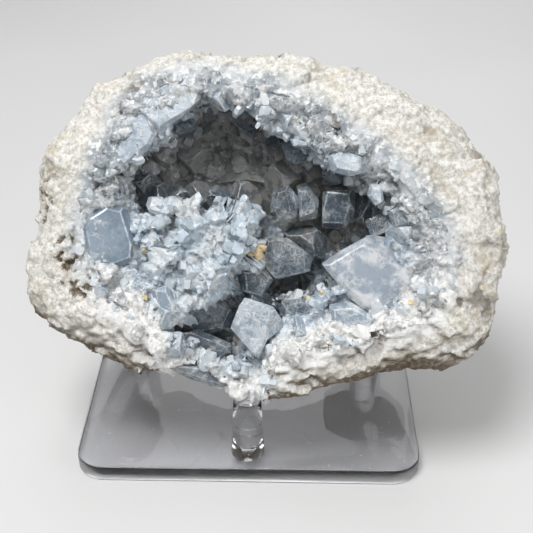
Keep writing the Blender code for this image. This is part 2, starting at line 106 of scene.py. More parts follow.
# Outlines across the face: pairs of an angle in degrees, from +u towards +v, and a radius in mm
ROCK_OUTLINE = (
    (3, 84), (10, 84), (17, 82), (23, 79), (30, 77), (37, 72), (44, 68), (51, 65), (61, 62.5),
    (66, 61), (70, 58.5), (76, 61), (92, 60), (100, 60), (109, 64), (116, 68), (123, 70),
    (131, 73), (141, 78), (150, 79), (155, 80), (162, 85), (171, 84), (176, 81.5), (181, 82),
    (192, 88.5), (201, 89.5), (207, 86), (213, 78.5), (220, 75), (228, 69), (237, 63), (246, 59.5),
    (257, 59), (270, 61.5), (284, 61.5), (296, 62), (308, 65.5), (316, 73), (321, 82),
    (328, 88), (333, 89.5), (340, 87), (348, 83), (356, 86),
)
HOLLOW_OUTLINE = (
    (0, 65.5), (15, 57.5), (30, 51), (45, 47), (60, 45.5), (72, 48), (82, 50), (95, 51),
    (104, 55), (114, 58), (123, 60), (132, 60), (142, 58), (152, 55), (161, 53), (169, 55),
    (180, 56.5), (191, 56), (201, 53.5), (215, 50), (228, 49.5), (238, 58), (251, 59),
    (268, 60), (276, 56), (283, 45), (298, 43.5), (314, 49.5), (327, 58), (336, 64.5), (347, 67),
)
VOID_OUTLINE = (
    (2, 44), (8, 41), (14, 36), (29, 27), (46, 24), (68, 23), (85, 27), (98, 29), (115, 35),
    (129, 34), (147, 35), (163, 38), (175, 42), (187, 40), (200, 35), (225, 32), (250, 34),
    (270, 38), (290, 42), (310, 46), (330, 50), (346, 53), (354, 49),
)
POCKET_OUTLINE = (
    (0, 22), (25, 20), (60, 17), (90, 15), (120, 14), (150, 17), (180, 19), (210, 18),
    (240, 15), (270, 15), (300, 14), (330, 17),
)
HOLLOW_MIDDLE = (-5.7, -4.4)
VOID_MIDDLE = (-8.0, 12.0)
POCKET_MIDDLE = (-14.6, -34.8)

# The crust's own surface sinks below the rock's face, fully within this share of the rim's radius
DISH_FLAT = 0.74
DISH_DEPTH = 8.0
DISH_LIMIT = 0.6

# The parts of the hollow that are painted dark as shade: the middle and the reach of each, in mm across the face
SHADED_PARTS = (((-18, 21), (36, 23)), ((24, 9), (27, 17)), ((14, -16), (17, 16)), ((-21, -38), (14, 14)))

# Flat crystals: front height w, its slope along u and v, thickness, corners (u, v) across the face
MILKY_TABLETS = (
    # the two broken faces along the upper left rim
    (13.6, -0.02, -0.10, 12, ((-46, 39), (-41, 47), (-32, 51), (-22, 48), (-23, 43), (-30, 36), (-37, 31))),
    (13.6, 0.04, -0.06, 12, ((-60, 26), (-54, 36), (-45, 39), (-39, 33), (-38, 31), (-41, 25), (-49, 18), (-55, 15))),
    # the blue crystal at the bottom
    (14, 0.10, 0.15, 18, ((-12, -37), (-9, -29), (-7, -26), (3, -29), (8, -36), (1, -41), (-2, -48))),
    # the fan at the lower left
    (13, 0.30, 0.10, 14, ((-40, -24), (-34, -22), (-31, -27), (-31, -33), (-37, -35))),
    (12, -0.30, 0.20, 14, ((-35, -22), (-27, -26), (-27, -33), (-32, -36), (-34, -29))),
    # the peak left of the middle
    (8, 0.10, -0.20, 14, ((-43, 6), (-42, 9), (-37, 9), (-32, 4), (-36, 1), (-41, 3))),
    # right of the blue crystal
    (14, 0.05, 0.15, 18, ((22, -28), (30, -27), (39, -33), (35, -39), (24, -38))),
    # along the upper right rim, and the white bar
    (16.5, 0.10, -0.20, 12, ((21, 23), (26, 26), (34, 23), (36, 18), (29, 16), (22, 18))),
    (14, 0.20, -0.10, 10, ((36, 14), (40, 14), (41, 8), (38, 6), (35, 10))),
    (15, 0.05, -0.10, 8, ((8, 29), (16, 28), (16, 26), (9, 26.5))),
)
CLEAR_TABLETS = (
    # the dark cluster right of the middle
    (0, 0.15, 0.20, 16, ((20, 12), (32, 13), (32, 4), (28, -2), (20, -1))),
    (2, -0.20, 0.25, 16, ((2, 12), (8, 14), (12, 9), (11, 3), (6, 0), (1, 5))),
    (1, 0.20, 0.10, 16, ((11, 13), (15, 14), (19, 9), (18, 2), (12, 1))),
    (4, -0.10, 0.20, 18, ((-1, -5), (8, -5), (17, -12), (16, -17), (4, -20), (-1, -16))),
    # the dark crystals in the lower pocket
    (1, -0.20, 0.25, 16, ((-32, -28), (-25, -25), (-16, -26), (-11, -33), (-14, -38), (-22, -41), (-31, -37))),
    (3, 0.10, 0.35, 16, ((-32, -40), (-24, -38), (-12, -43), (-12, -49), (-19, -51), (-29, -48))),
    # clear blades along the bottom edge
    (5, 0.05, 0.35, 9, ((-36, -51), (-24, -51), (-8, -52), (-9, -58), (-15, -59), (-27, -56))),
    # between the middle and the blue crystal
    (4, 0.20, 0.20, 16, ((-11, -17), (-2, -14), (3, -20), (-2, -27), (-9, -24))),
    (9, -0.20, 0.20, 18, ((4, -27), (16, -26), (22, -31), (18, -38), (8, -36))),
    # on the hollow's right rim
    (14, -0.20, 0.10, 12, ((42, 4), (47, 5), (51, 0), (47, -2), (44, -1))),
)
# The big veiled rhomb at the right
VEILED_TABLETS = (
    (13, -0.10, 0.05, 17, (
        (19, -14), (26, -9), (37, -3), (48, -4), (51, -17), (56, -21), (48, -31), (35, -31), (29, -26),
    )),
)
# The smooth blue face at the left
SMOOTH_TABLETS = (
    (14.6, -0.24, 0.05, 16, ((-64, -4), (-60, 4), (-54, 7), (-48, 4), (-46, -5), (-47, -14), (-57, -20), (-61, -14))),
)
# The broken pale mass left of the middle
MASS_TABLETS = (
    (12, 0.05, 0.10, 24, (
        (-28, 2), (-15, 6), (-11, 4), (-7, 5), (-3, 4), (-2, -4), (-11, -11), (-18, -20), (-30, -21),
        (-39, -22), (-41, -14), (-35, -4),
    )),
)

# Long crystals: (root u, v, w), (tip u, v, w), width, thickness, turn of the broad face in degrees
MASS_CRYSTALS = (
    ((-46, -30, -12), (-4, 1, 12), 15, 13, 15),
    ((-44, -36, -8), (-12, -15, 13), 14, 12, -20),
    ((-36, -20, -16), (-24, 5, 9), 13, 12, 40),
    ((-22, -26, -18), (-6, -5, 13), 13, 12, -35),
    ((-46, -14, -14), (-35, 5, 8), 12, 11, 5),
    ((-50, -12, -8), (-41, -3, 11), 11, 10, -15),
    ((-30, -10, -10), (-12, 4, 13), 10, 9, 60),
)
MILKY_CRYSTALS = (
    ((-60, 4, 0), (-53, 15, 14), 10, 9, 30),
    ((-46, -40, -4), (-31, -31, 14), 9, 7, -25),
    ((-40, -50, -4), (-29, -41, 12), 9, 7, 35),
    ((20, -46, -6), (11, -34, 13), 11, 9, -20),
    ((32, -44, -6), (24, -33, 13), 10, 8, 35),
    ((54, -8, -4), (45, -1, 13), 10, 9, 20),
    ((-18, 50, 2), (-16, 40, 13), 8, 7, 20),
    ((-4, 48, 2), (-3, 38, 14), 9, 7, -10),
    ((8, 44, 2), (7, 33, 14), 9, 7, 0),
    ((22, 40, 4), (15, 29, 14), 8, 6, 25),
    ((40, 30, 2), (31, 24, 14), 9, 7, 0),
)
CLEAR_CRYSTALS = (
    ((2, -40, -18), (-5, -26, 3), 12, 9, -30),
    ((6, -46, -12), (15, -26, 3), 10, 8, 0),
    ((40, 10, -24), (36, 6, -2), 13, 11, 20),
    ((22, -12, -22), (10, -4, 1), 14, 12, 30),
    ((30, -24, -18), (24, -12, 2), 13, 10, 0),
    ((44, -2, -20), (47, 3, 1), 11, 9, 40),
    ((62, 6, -4), (49, 8, 8), 9, 7, 0),
    ((54, 22, -4), (40, 20, 8), 10, 7, 30),
    ((-38, 0, -24), (-40, 12, -2), 13, 10, 0),
    ((-24, 4, -30), (-26, 13, -7), 13, 10, 20),
    ((-8, 2, -32), (-10, 13, -8), 14, 11, -20),
    ((8, 14, -32), (4, 20, -12), 15, 11, 10),
    ((-30, 26, -30), (-26, 26, -14), 13, 10, 45),
    ((-48, 14, -16), (-44, 17, -4), 10, 8, 10),
    ((-16, 8, -28), (-18, 10, -3), 9, 8, 70),
    ((-32, 6, -26), (-33, 10, -2), 9, 8, -40),
)


# Flakes of ochre clay on the crystals: u, v and size
FLAKES = (
    (-2.6, -10.2, 5.0), (-5.4, -10.8, 2.6), (-1.0, -8.6, 2.8), (-42.5, -10.2, 2.4), (-41.8, -26.3, 2.8),
    (15.2, -26.0, 1.9), (19.8, -24.2, 1.7), (50.2, -27.0, 2.2), (26.0, -7.5, 1.6),
)


class RockSettings(bpy.types.PropertyGroup):
    """Sizes and colours of the rock."""

    grid: FloatProperty(
        name="Grid", description="Spacing of the rock surface's points",
        default=1.0 * MM, unit="LENGTH",
    )
    chip: FloatProperty(
        name="Chips", description="Height of the rock's broken steps", default=1.3 * MM, unit="LENGTH"
    )
    lump: FloatProperty(
        name="Lumps", description="Height of the rock's lumps", default=1.8 * MM, unit="LENGTH"
    )
    grain: FloatProperty(
        name="Grain", description="Height of the rock's grain", default=0.9 * MM, unit="LENGTH"
    )
    pit: FloatProperty(
        name="Pits", description="Depth of the rock's pits", default=1.6 * MM, unit="LENGTH"
    )
    pale: FloatVectorProperty(
        name="Pale rock", description="Colour of clean rock", subtype="COLOR",
        default=(0.91, 0.895, 0.85),
    )
    beige: FloatVectorProperty(
        name="Beige specks", description="Colour of the weathered specks", subtype="COLOR",
        default=(0.60, 0.52, 0.37),
    )
    # Also painted shade: the same dark colour darkens the rock's underside, low down, for the shade beneath it.
    dirt_and_shade: FloatVectorProperty(
        name="Dirt", description="Colour of the earth in the pits", subtype="COLOR",
        default=(0.125, 0.09, 0.05),
    )


class CrystalSettings(bpy.types.PropertyGroup):
    """Sizes and colours of the crystals."""

    spacing: FloatProperty(
        name="Spacing", description="Least distance between small crystals",
        default=2.6 * MM, unit="LENGTH",
    )
    small: FloatProperty(
        name="Small", description="Width of the small crystals", default=3.2 * MM, unit="LENGTH"
    )
    grid: FloatProperty(
        name="Grid", description="Spacing of the crust surface's points", default=0.9 * MM, unit="LENGTH"
    )
    seed: IntProperty(name="Seed", description="Pattern of the small crystals", default=5)
    ior: FloatProperty(name="Index", description="Celestite's refractive index", default=1.62)
    absorption: FloatProperty(
        name="Absorption", description="How strongly clear crystal takes up light, per metre",
        default=8.0,
    )
    tint: FloatVectorProperty(
        name="Tint", description="Colour that light keeps in clear crystal", subtype="COLOR",
        default=(0.50, 0.66, 0.82),
    )
    pale: FloatVectorProperty(
        name="Pale crystal", description="Colour of the milky crystals", subtype="COLOR",
        default=(0.66, 0.74, 0.80),
    )
    # Painted shade: this dark slate stands in for the shade deep in the hollow.
    painted_shade_colour: FloatVectorProperty(
        name="Deep crystal", description="Colour of the crystals deep in the hollow", subtype="COLOR",
        default=(0.42, 0.44, 0.445),
    )


class StandSettings(bpy.types.PropertyGroup):
    """Finish of the acrylic stand."""

    corner: FloatProperty(
        name="Corner", description="Radius of the plate's corners", default=11.0 * MM, unit="LENGTH"
    )
    edge: FloatProperty(
        name="Edge", description="Radius of the polished edges", default=0.6 * MM, unit="LENGTH"
    )
    ior: FloatProperty(name="Index", description="Acrylic's refractive index", default=1.49)


def settings():
    return bpy.context.scene.geode


def node(tree, kind, inputs=None, **options):
    """Adds a node, sets its options, and links or sets each input."""
    made = tree.nodes.new(kind)
    for name, value in options.items():
        setattr(made, name, value)
    for socket, value in (inputs or {}).items():
        if isinstance(value, bpy.types.NodeSocket):
            tree.links.new(value, made.inputs[socket])
        elif isinstance(value, list):
            for each in value:
                tree.links.new(each, made.inputs[socket])
        else:
            made.inputs[socket].default_value = value
    return made


def maths(tree, operation, *values):
    made = node(tree, "ShaderNodeMath", dict(enumerate(values)), operation=operation)
    return made.outputs[0]


def vector_maths(tree, operation, *values):
    made = node(tree, "ShaderNodeVectorMath", dict(enumerate(values)), operation=operation)
    single = operation in ("DOT_PRODUCT", "LENGTH", "DISTANCE")
    return made.outputs["Value" if single else "Vector"]


def ramp(tree, value, low, high, out_low=0.0, out_high=1.0):
    """Maps value from low..high to out_low..out_high, smoothly, and holds it there."""
    inputs = {"Value": value, "From Min": low, "From Max": high, "To Min": out_low, "To Max": out_high}
    made = node(tree, "ShaderNodeMapRange", inputs, interpolation_type="SMOOTHSTEP", clamp=True)
    return made.outputs["Result"]


def noise(tree, place, scale, detail=3.0, roughness=0.55, **options):
    inputs = {"Vector": place, "Scale": scale, "Detail": detail, "Roughness": roughness}
    return node(tree, "ShaderNodeTexNoise", inputs, **options).outputs[0]


def mix(tree, share, first, second):
    made = node(
        tree, "ShaderNodeMix", {0: share, 6: first, 7: second}, data_type="RGBA", clamp_factor=True
    )
    return made.outputs[2]


def opaque(colour):
    return (*colour, 1.0)


def turn_to_world(vector):
    """A vector of the face frame, turned into the world's axes."""
    u, v, w = vector
    return Matrix.Rotation(-FACE_LEAN, 3, "X") @ Vector((u, -w, v))


def face_to_world(point):
    """A point of the face frame, in mm, as a place in metres."""
    return GEODE_MIDDLE + turn_to_world(point) * MM


OUTWARD = turn_to_world((0, 0, 1))
FACE_DEPTH = OUTWARD.dot(GEODE_MIDDLE)


def new_material(name):
    """A material with its Principled shader and its place in the object's own coordinates."""
    made = bpy.data.materials.new(name)
    made.use_nodes = True
    tree = made.node_tree
    shader = tree.nodes["Principled BSDF"]
    place = node(tree, "ShaderNodeTexCoord").outputs["Object"]
    return made, tree, shader, place


def attribute(tree, name):
    return node(tree, "ShaderNodeAttribute", attribute_name=name).outputs["Fac"]


def offset_by(tree, value, wander, amount):
    """A value shifted up and down by this much of a noise."""
    shift = maths(tree, "MULTIPLY", maths(tree, "SUBTRACT", wander, 0.5), amount)
    return maths(tree, "ADD", value, shift)


def wisps(tree, place, scale, width, twist=2.5):
    """Thin curved streaks, such as healed cracks in a crystal."""
    swirl = noise(tree, place, scale, 2.0, 0.5)
    swirl.node.inputs["Distortion"].default_value = twist
    return ramp(tree, maths(tree, "ABSOLUTE", maths(tree, "SUBTRACT", swirl, 0.5)), width, 0.0)


def facets(tree, place, scale):
    """Small flat faces, each with its own tilt: their height in mm, and each face's own shade."""
    cells = node(tree, "ShaderNodeTexVoronoi", {"Vector": place, "Scale": scale})
    tilt = vector_maths(tree, "SUBTRACT", cells.outputs["Color"], (0.5, 0.5, 0.5))
    from_middle = vector_maths(tree, "SUBTRACT", place, cells.outputs["Position"])
    height = maths(tree, "DIVIDE", vector_maths(tree, "DOT_PRODUCT", from_middle, tilt), MM)
    return height, node(tree, "ShaderNodeSeparateXYZ", {0: cells.outputs["Color"]}).outputs["Z"]


def frost(tree, place):
    """White grains and grey-blue ones, on either side of the line between rock and crust; whiter low down."""
    height = node(tree, "ShaderNodeSeparateXYZ", {0: place}).outputs["Z"]
    low = ramp(tree, height, 92 * MM, 62 * MM, -0.08, 0.20)
    grains = noise(tree, place, 420.0, 5.0, 0.75)
    patches = noise(tree, place, 85.0, 4.0, 0.6)
    height, shade = facets(tree, place, 560.0)
    grey = mix(tree, ramp(tree, patches, 0.43, 0.60), opaque((0.60, 0.63, 0.65)), opaque((0.32, 0.36, 0.395)))
    share = ramp(tree, maths(tree, "ADD", offset_by(tree, grains, shade, 0.22), low), 0.40, 0.58)
    return mix(tree, share, grey, opaque((0.92, 0.915, 0.895))), grains, height, shade


def set_bump(tree, shader, height, depth, strength=1.0):
    bump = node(tree, "ShaderNodeBump", {"Strength": strength, "Distance": depth, "Height": height})
    tree.links.new(bump.outputs[0], shader.inputs["Normal"])


def rock_material():
    """Chalky rock with beige specks, dirt stains and painted shade on its underside, and earth in its pits."""
    values = settings().rock
    made, tree, shader, place = new_material("pale_rock")
    patches = noise(tree, place, 45.0, 4.0, 0.6)
    specks = noise(tree, place, 620.0, 5.0, 0.75)
    fine = noise(tree, place, 1700.0, 3.0, 0.7)
    flat = node(tree, "ShaderNodeMapping", {"Vector": place, "Scale": (1.0, 1.0, 3.0)}).outputs[0]
    streaks = noise(tree, flat, 150.0, 6.0, 0.7)
    colour = mix(tree, ramp(tree, specks, 0.38, 0.58), opaque((0.56, 0.54, 0.49)), opaque(values.pale))
    beige = maths(tree, "MULTIPLY", ramp(tree, streaks, 0.48, 0.60), ramp(tree, patches, 0.36, 0.60, 0.15, 1.0))
    beige = maths(tree, "MULTIPLY", beige, ramp(tree, fine, 0.38, 0.58, 0.3, 1.0))
    colour = mix(tree, beige, colour, opaque(values.beige))
    olive = maths(tree, "MULTIPLY", ramp(tree, fine, 0.42, 0.30), ramp(tree, patches, 0.34, 0.56, 0.25, 0.85))
    colour = mix(tree, olive, colour, opaque((0.27, 0.225, 0.14)))
    rim = ramp(tree, offset_by(tree, attribute(tree, "rim"), streaks, 1.4), 0.25, 0.85)
    white, grains, height, shade = frost(tree, place)
    colour = mix(tree, rim, colour, white)
    normal = node(tree, "ShaderNodeNewGeometry").outputs["Normal"]
    # Painted shade: surfaces facing down, low on the rock, take the dirt colour, partly as real dirt and partly for
    # the shade under the rock.
    downward = ramp(tree, vector_maths(tree, "DOT_PRODUCT", normal, (0.0, 0.0, -1.0)), -0.25, 0.30)
    blots = noise(tree, place, 55.0, 6.0, 0.7)
    low = ramp(tree, node(tree, "ShaderNodeSeparateXYZ", {0: place}).outputs["Z"], 84 * MM, 56 * MM)
    stain_and_shade = maths(tree, "MULTIPLY", maths(tree, "MULTIPLY", downward, low), ramp(tree, blots, 0.32, 0.48, 0.5, 1.0))
    hollows = ramp(tree, attribute(tree, "height"), -0.2, -1.1, 0.0, 0.7)
    hollows = maths(tree, "MULTIPLY", hollows, ramp(tree, patches, 0.42, 0.62))
    pits = ramp(tree, offset_by(tree, attribute(tree, "pit"), fine, 1.6), 0.12, 0.60)
    pits = maths(tree, "MULTIPLY", pits, ramp(tree, attribute(tree, "pit"), 0.0, 0.12))
    earth_and_shade = maths(tree, "MAXIMUM", pits, maths(tree, "MAXIMUM", stain_and_shade, hollows))
    earth_and_shade = maths(tree, "MULTIPLY", earth_and_shade, ramp(tree, specks, 0.34, 0.54, 0.6, 1.0))
    colour = mix(tree, earth_and_shade, colour, opaque(values.dirt_and_shade))
    tree.links.new(colour, shader.inputs["Base Color"])
    shader.inputs["Roughness"].default_value = 0.92
    rough = maths(tree, "MULTIPLY_ADD", fine, 0.5, specks)
    set_bump(tree, shader, maths(tree, "MULTIPLY_ADD", height, 0.5, rough), 0.8 * MM)
    return made


def crust_material():
    """Broken crust: white grains near the rock, grey-blue further in, and slate in the hollow, darkened as painted
    shade.
    """
    values = settings().crystal
    made, tree, shader, place = new_material("crust")
    white, grains, small, shade = frost(tree, place)
    large, tone = facets(tree, place, 210.0)
    fine = noise(tree, place, 900.0, 4.0, 0.7)
    broad = noise(tree, place, 70.0, 4.0, 0.6)
    edge = ramp(tree, offset_by(tree, attribute(tree, "edge"), broad, 1.6), 0.0, 0.8)
    # Painted shade: the parts of the hollow that lie in shade are painted dark slate.
    dark = ramp(tree, offset_by(tree, attribute(tree, "dark"), broad, 0.9), 0.3, 0.75)
    mottled = offset_by(tree, offset_by(tree, grains, shade, 0.2), tone, 0.2)
    blue = mix(tree, ramp(tree, mottled, 0.38, 0.60), opaque((0.30, 0.38, 0.46)), opaque((0.70, 0.76, 0.81)))
    shaded_slate = mix(tree, ramp(tree, mottled, 0.42, 0.66), opaque(values.painted_shade_colour), opaque((0.58, 0.60, 0.61)))
    tan = maths(tree, "MULTIPLY", ramp(tree, broad, 0.50, 0.62), ramp(tree, grains, 0.46, 0.6))
    shaded_slate = mix(tree, maths(tree, "MULTIPLY", tan, 0.5), shaded_slate, opaque((0.42, 0.33, 0.22)))
    curls = maths(tree, "MULTIPLY", wisps(tree, place, 120.0, 0.05), ramp(tree, grains, 0.45, 0.6))
    shaded_slate = mix(tree, curls, shaded_slate, opaque((0.75, 0.76, 0.76)))
    colour = mix(tree, edge, blue, white)
    colour = mix(tree, dark, colour, shaded_slate)
    tree.links.new(colour, shader.inputs["Base Color"])
    tree.links.new(ramp(tree, fine, 0.35, 0.6, 0.06, 0.42), shader.inputs["Roughness"])
    shader.inputs["IOR"].default_value = values.ior
    shader.inputs["Transmission Weight"].default_value = 0.1
    height = maths(tree, "ADD", maths(tree, "MULTIPLY_ADD", fine, 0.3, small), large)
    set_bump(tree, shader, height, 1.1 * MM)
    return made


def crystal_material(name, body, other, veil, transmission, streak=0.03, depth=0.25, rough=0.25,
                     breaks=0.0, tan=0.0, swirls=(60.0, 150.0), veils=0.46):
    """Celestite: two tones of one colour, crossed by pale streaks, white where its edges are worn."""
    made, tree, shader, place = new_material(name)
    clouds = noise(tree, place, 110.0, 4.0, 0.6)
    fine = noise(tree, place, 600.0, 5.0, 0.75)
    tilted = node(
        tree, "ShaderNodeMapping", {"Vector": place, "Rotation": (0.6, 0.3, 0.8), "Scale": (1.0, 6.0, 2.0)}
    ).outputs[0]
    lines = ramp(tree, noise(tree, tilted, 110.0, 5.0, 0.7), 0.56, 0.68)
    for scale in swirls:
        lines = maths(tree, "MAXIMUM", lines, wisps(tree, place, scale, streak))
    lines = maths(tree, "MULTIPLY", lines, ramp(tree, clouds, veils, veils + 0.16, 0.1, 0.9))
    height, shade = facets(tree, place, 230.0)
    broken = maths(tree, "MULTIPLY", height, breaks)
    share = ramp(tree, offset_by(tree, offset_by(tree, clouds, fine, 0.6), shade, breaks * 0.25), 0.42, 0.60)
    colour = mix(tree, share, opaque(body), opaque(other))
    rust = maths(tree, "MULTIPLY", ramp(tree, noise(tree, place, 62.0, 3.0), 0.52, 0.64), tan)
    colour = mix(tree, rust, colour, opaque((0.50, 0.38, 0.25)))
    worn = maths(tree, "MULTIPLY", attribute(tree, "worn"), ramp(tree, fine, 0.40, 0.60, 0.15, 0.8))
    colour = mix(tree, maths(tree, "MAXIMUM", lines, worn), colour, opaque(veil))
    tree.links.new(colour, shader.inputs["Base Color"])
    tree.links.new(ramp(tree, fine, 0.40, 0.65, 0.03, rough), shader.inputs["Roughness"])
    shader.inputs["IOR"].default_value = settings().crystal.ior
    shader.inputs["Transmission Weight"].default_value = transmission
    height = maths(tree, "MULTIPLY_ADD", maths(tree, "ADD", fine, lines), depth, broken)
    set_bump(tree, shader, height, 1.0 * MM, 0.6)
    return made


def druse_material():
    return crystal_material(
        "druse", settings().crystal.pale, (0.80, 0.84, 0.87), (0.95, 0.96, 0.97), 0.25
    )


def milky_material():
    return crystal_material(
        "milky_celestite", (0.33, 0.41, 0.49), (0.60, 0.67, 0.73), (0.92, 0.94, 0.95), 0.3,
        breaks=0.2, veils=0.40,
    )


def mass_material():
    return crystal_material(
        "broken_celestite", (0.60, 0.71, 0.80), (0.88, 0.94, 0.98), (0.98, 0.99, 1.0), 0.3,
        streak=0.05, depth=0.5, rough=0.3, breaks=0.9, tan=0.15,
    )


def veiled_material():
    return crystal_material(
        "veiled_celestite", (0.37, 0.45, 0.54), (0.53, 0.61, 0.70), (0.95, 0.96, 0.98), 0.4,
        streak=0.10, rough=0.15, tan=0.4, swirls=(45.0, 120.0, 260.0), veils=0.39,
    )


def smooth_material():
    return crystal_material(
        "smooth_celestite", (0.22, 0.29, 0.37), (0.32, 0.40, 0.48), (0.70, 0.76, 0.82), 0.35,
        streak=0.02, depth=0.12, rough=0.12, swirls=(40.0,), veils=0.52,
    )


def clear_material():
    """See-through celestite, which takes up a little red light; its dark body colour is painted shade."""
    values = settings().crystal
    # Painted shade: the dark body colour stands in for the shade these crystals lie in.
    made = crystal_material(
        "clear_celestite", (0.11, 0.145, 0.18), (0.31, 0.37, 0.42), (0.80, 0.83, 0.85), 0.5,
        depth=0.2, rough=0.15, breaks=0.12, tan=0.25,
    )
    tree = made.node_tree
    shader = tree.nodes["Principled BSDF"]
    place = node(tree, "ShaderNodeTexCoord").outputs["Object"]
    depth = maths(tree, "SUBTRACT", vector_maths(tree, "DOT_PRODUCT", place, tuple(OUTWARD)), FACE_DEPTH)
    grains = noise(tree, place, 300.0, 4.0, 0.7)
    wall = maths(tree, "MULTIPLY", ramp(tree, depth, -5 * MM, -14 * MM), ramp(tree, grains, 0.40, 0.56, 0.35, 0.9))
    colour = mix(tree, wall, shader.inputs["Base Color"].links[0].from_socket, opaque((0.66, 0.65, 0.62)))
    tree.links.new(colour, shader.inputs["Base Color"])
    volume = node(
        tree, "ShaderNodeVolumeAbsorption",
        {"Color": opaque(values.tint), "Density": values.absorption},
    )
    tree.links.new(volume.outputs[0], tree.nodes["Material Output"].inputs["Volume"])
    return made


def ochre_material():
    """Flakes of ochre clay."""
    made, tree, shader, place = new_material("ochre")
    specks = noise(tree, place, 1400.0, 4.0, 0.7)
    tree.links.new(
        mix(tree, ramp(tree, specks, 0.35, 0.6), opaque((0.50, 0.36, 0.18)), opaque((0.84, 0.69, 0.44))),
        shader.inputs["Base Color"],
    )
    shader.inputs["Roughness"].default_value = 0.8
    set_bump(tree, shader, specks, 0.3 * MM)
    return made


def acrylic_material():
    """Clear acrylic with fine scratches, less polished along the plate's sawn edge."""
    made, tree, shader, place = new_material("clear_acrylic")
    stretched = node(
        tree, "ShaderNodeMapping", {"Vector": place, "Rotation": (0.0, 0.0, 0.5), "Scale": (1.0, 9.0, 1.0)}
    ).outputs[0]
    scratches = ramp(tree, noise(tree, stretched, 60.0, 6.0, 0.75), 0.60, 0.70)
    lines = maths(tree, "MULTIPLY", wisps(tree, place, 22.0, 0.005, 0.6), 0.6)
    dust = ramp(tree, noise(tree, place, 900.0, 2.0), 0.68, 0.74)
    marks = maths(tree, "MAXIMUM", maths(tree, "MAXIMUM", scratches, lines), dust)
    colour = mix(tree, marks, opaque((0.965, 0.968, 0.99)), opaque((0.88, 0.885, 0.91)))
    tree.links.new(colour, shader.inputs["Base Color"])
    normal = node(tree, "ShaderNodeNewGeometry").outputs["Normal"]
    upright = maths(tree, "ABSOLUTE", node(tree, "ShaderNodeSeparateXYZ", {0: normal}).outputs["Z"])
    height = node(tree, "ShaderNodeSeparateXYZ", {0: place}).outputs["Z"]
    sawn = maths(tree, "MULTIPLY", ramp(tree, upright, 0.98, 0.7), ramp(tree, height, 6.40 * MM, 6.33 * MM))
    rough = maths(tree, "MAXIMUM", ramp(tree, marks, 0.0, 1.0, 0.01, 0.35), maths(tree, "MULTIPLY", sawn, 0.28))
    tree.links.new(rough, shader.inputs["Roughness"])
    shader.inputs["IOR"].default_value = settings().stand.ior
    shader.inputs["Transmission Weight"].default_value = 1.0
    return made


def add_object(name, mesh, collection=None):
    made = bpy.data.objects.new(name, mesh)
    (collection or bpy.context.scene.collection).objects.link(made)
    return made


def copy_of_node(name, copy_name):
    """A welded copy of a CAD solid's mesh."""
    source = frame["nodes"][name]
    mesh = source.data.copy()
    mesh.materials.clear()
    shape = bmesh.new()
    shape.from_mesh(mesh)
    bmesh.ops.remove_doubles(shape, verts=shape.verts, dist=0.0005 * MM)
    shape.to_mesh(mesh)
    shape.free()
    return add_object(copy_name, mesh)


def baked(obj):
    """Turns what the modifiers make into the object's own plain mesh."""
    depsgraph = bpy.context.evaluated_depsgraph_get()
    mesh = bpy.data.meshes.new_from_object(obj.evaluated_get(depsgraph))
    obj.modifiers.clear()
    obj.data = mesh
    return obj


def new_tree(name, inputs):
    """A geometry tree with a Geometry input and output, and these named inputs of these kinds."""
    tree = bpy.data.node_groups.new(name, "GeometryNodeTree")
    tree.interface.new_socket("Geometry", in_out="INPUT", socket_type="NodeSocketGeometry")
    for label, kind in inputs.items():
        tree.interface.new_socket(label, in_out="INPUT", socket_type=f"NodeSocket{kind}")
    tree.interface.new_socket("Geometry", in_out="OUTPUT", socket_type="NodeSocketGeometry")
    return tree, node(tree, "NodeGroupInput").outputs


def add_tree(obj, tree, values):
    """Puts the tree on the object, with its named inputs set."""
    modifier = obj.modifiers.new(tree.name, "NODES")
    modifier.node_group = tree
    sockets = {item.name: item.identifier for item in tree.interface.items_tree if item.in_out == "INPUT"}
    for label, value in values.items():
        modifier[sockets[label]] = value
    return modifier


def finish_tree(tree, geometry, material):
    """Ends a tree in Realize Instances and Set Material."""
    whole = node(tree, "GeometryNodeRealizeInstances", {"Geometry": geometry}).outputs[0]
    dressed = node(tree, "GeometryNodeSetMaterial", {"Geometry": whole, "Material": material})
    node(tree, "NodeGroupOutput", {0: dressed.outputs[0]})


def radius_at(outline, angle):
    """The outline's radius at an angle in degrees, on a smooth closed curve through its points."""
    angle %= 360.0
    count = len(outline)
    after = next((i for i, (at, _) in enumerate(outline) if at > angle), count)
    picked = []
    for step in (-2, -1, 0, 1):
        turns, index = divmod(after + step, count)
        picked.append((outline[index][0] + 360.0 * turns, outline[index][1]))
    (a0, r0), (a1, r1), (a2, r2), (a3, r3) = picked
    share = (angle - a1) / (a2 - a1)
    slope_in = (r2 - r0) / (a2 - a0) * (a2 - a1)
    slope_out = (r3 - r1) / (a3 - a1) * (a2 - a1)
    square, cube = share ** 2, share ** 3
    start = (2 * cube - 3 * square + 1) * r1 + (cube - 2 * square + share) * slope_in
    end = (3 * square - 2 * cube) * r2 + (cube - square) * slope_out
    return start + end


def dish_share(place):
    """How far into the broken face a place lies: 0 from the hollow's rim outwards, 1 well inside."""
    from_middle = place.xy - Vector(HOLLOW_MIDDLE)
    angle = math.degrees(math.atan2(from_middle.y, from_middle.x))
    share = (from_middle.length / radius_at(HOLLOW_OUTLINE, angle) - DISH_FLAT) / (1 - DISH_FLAT)
    share = max(0.0, min(1.0, share))
    return 1 - share * share * (3 - 2 * share)


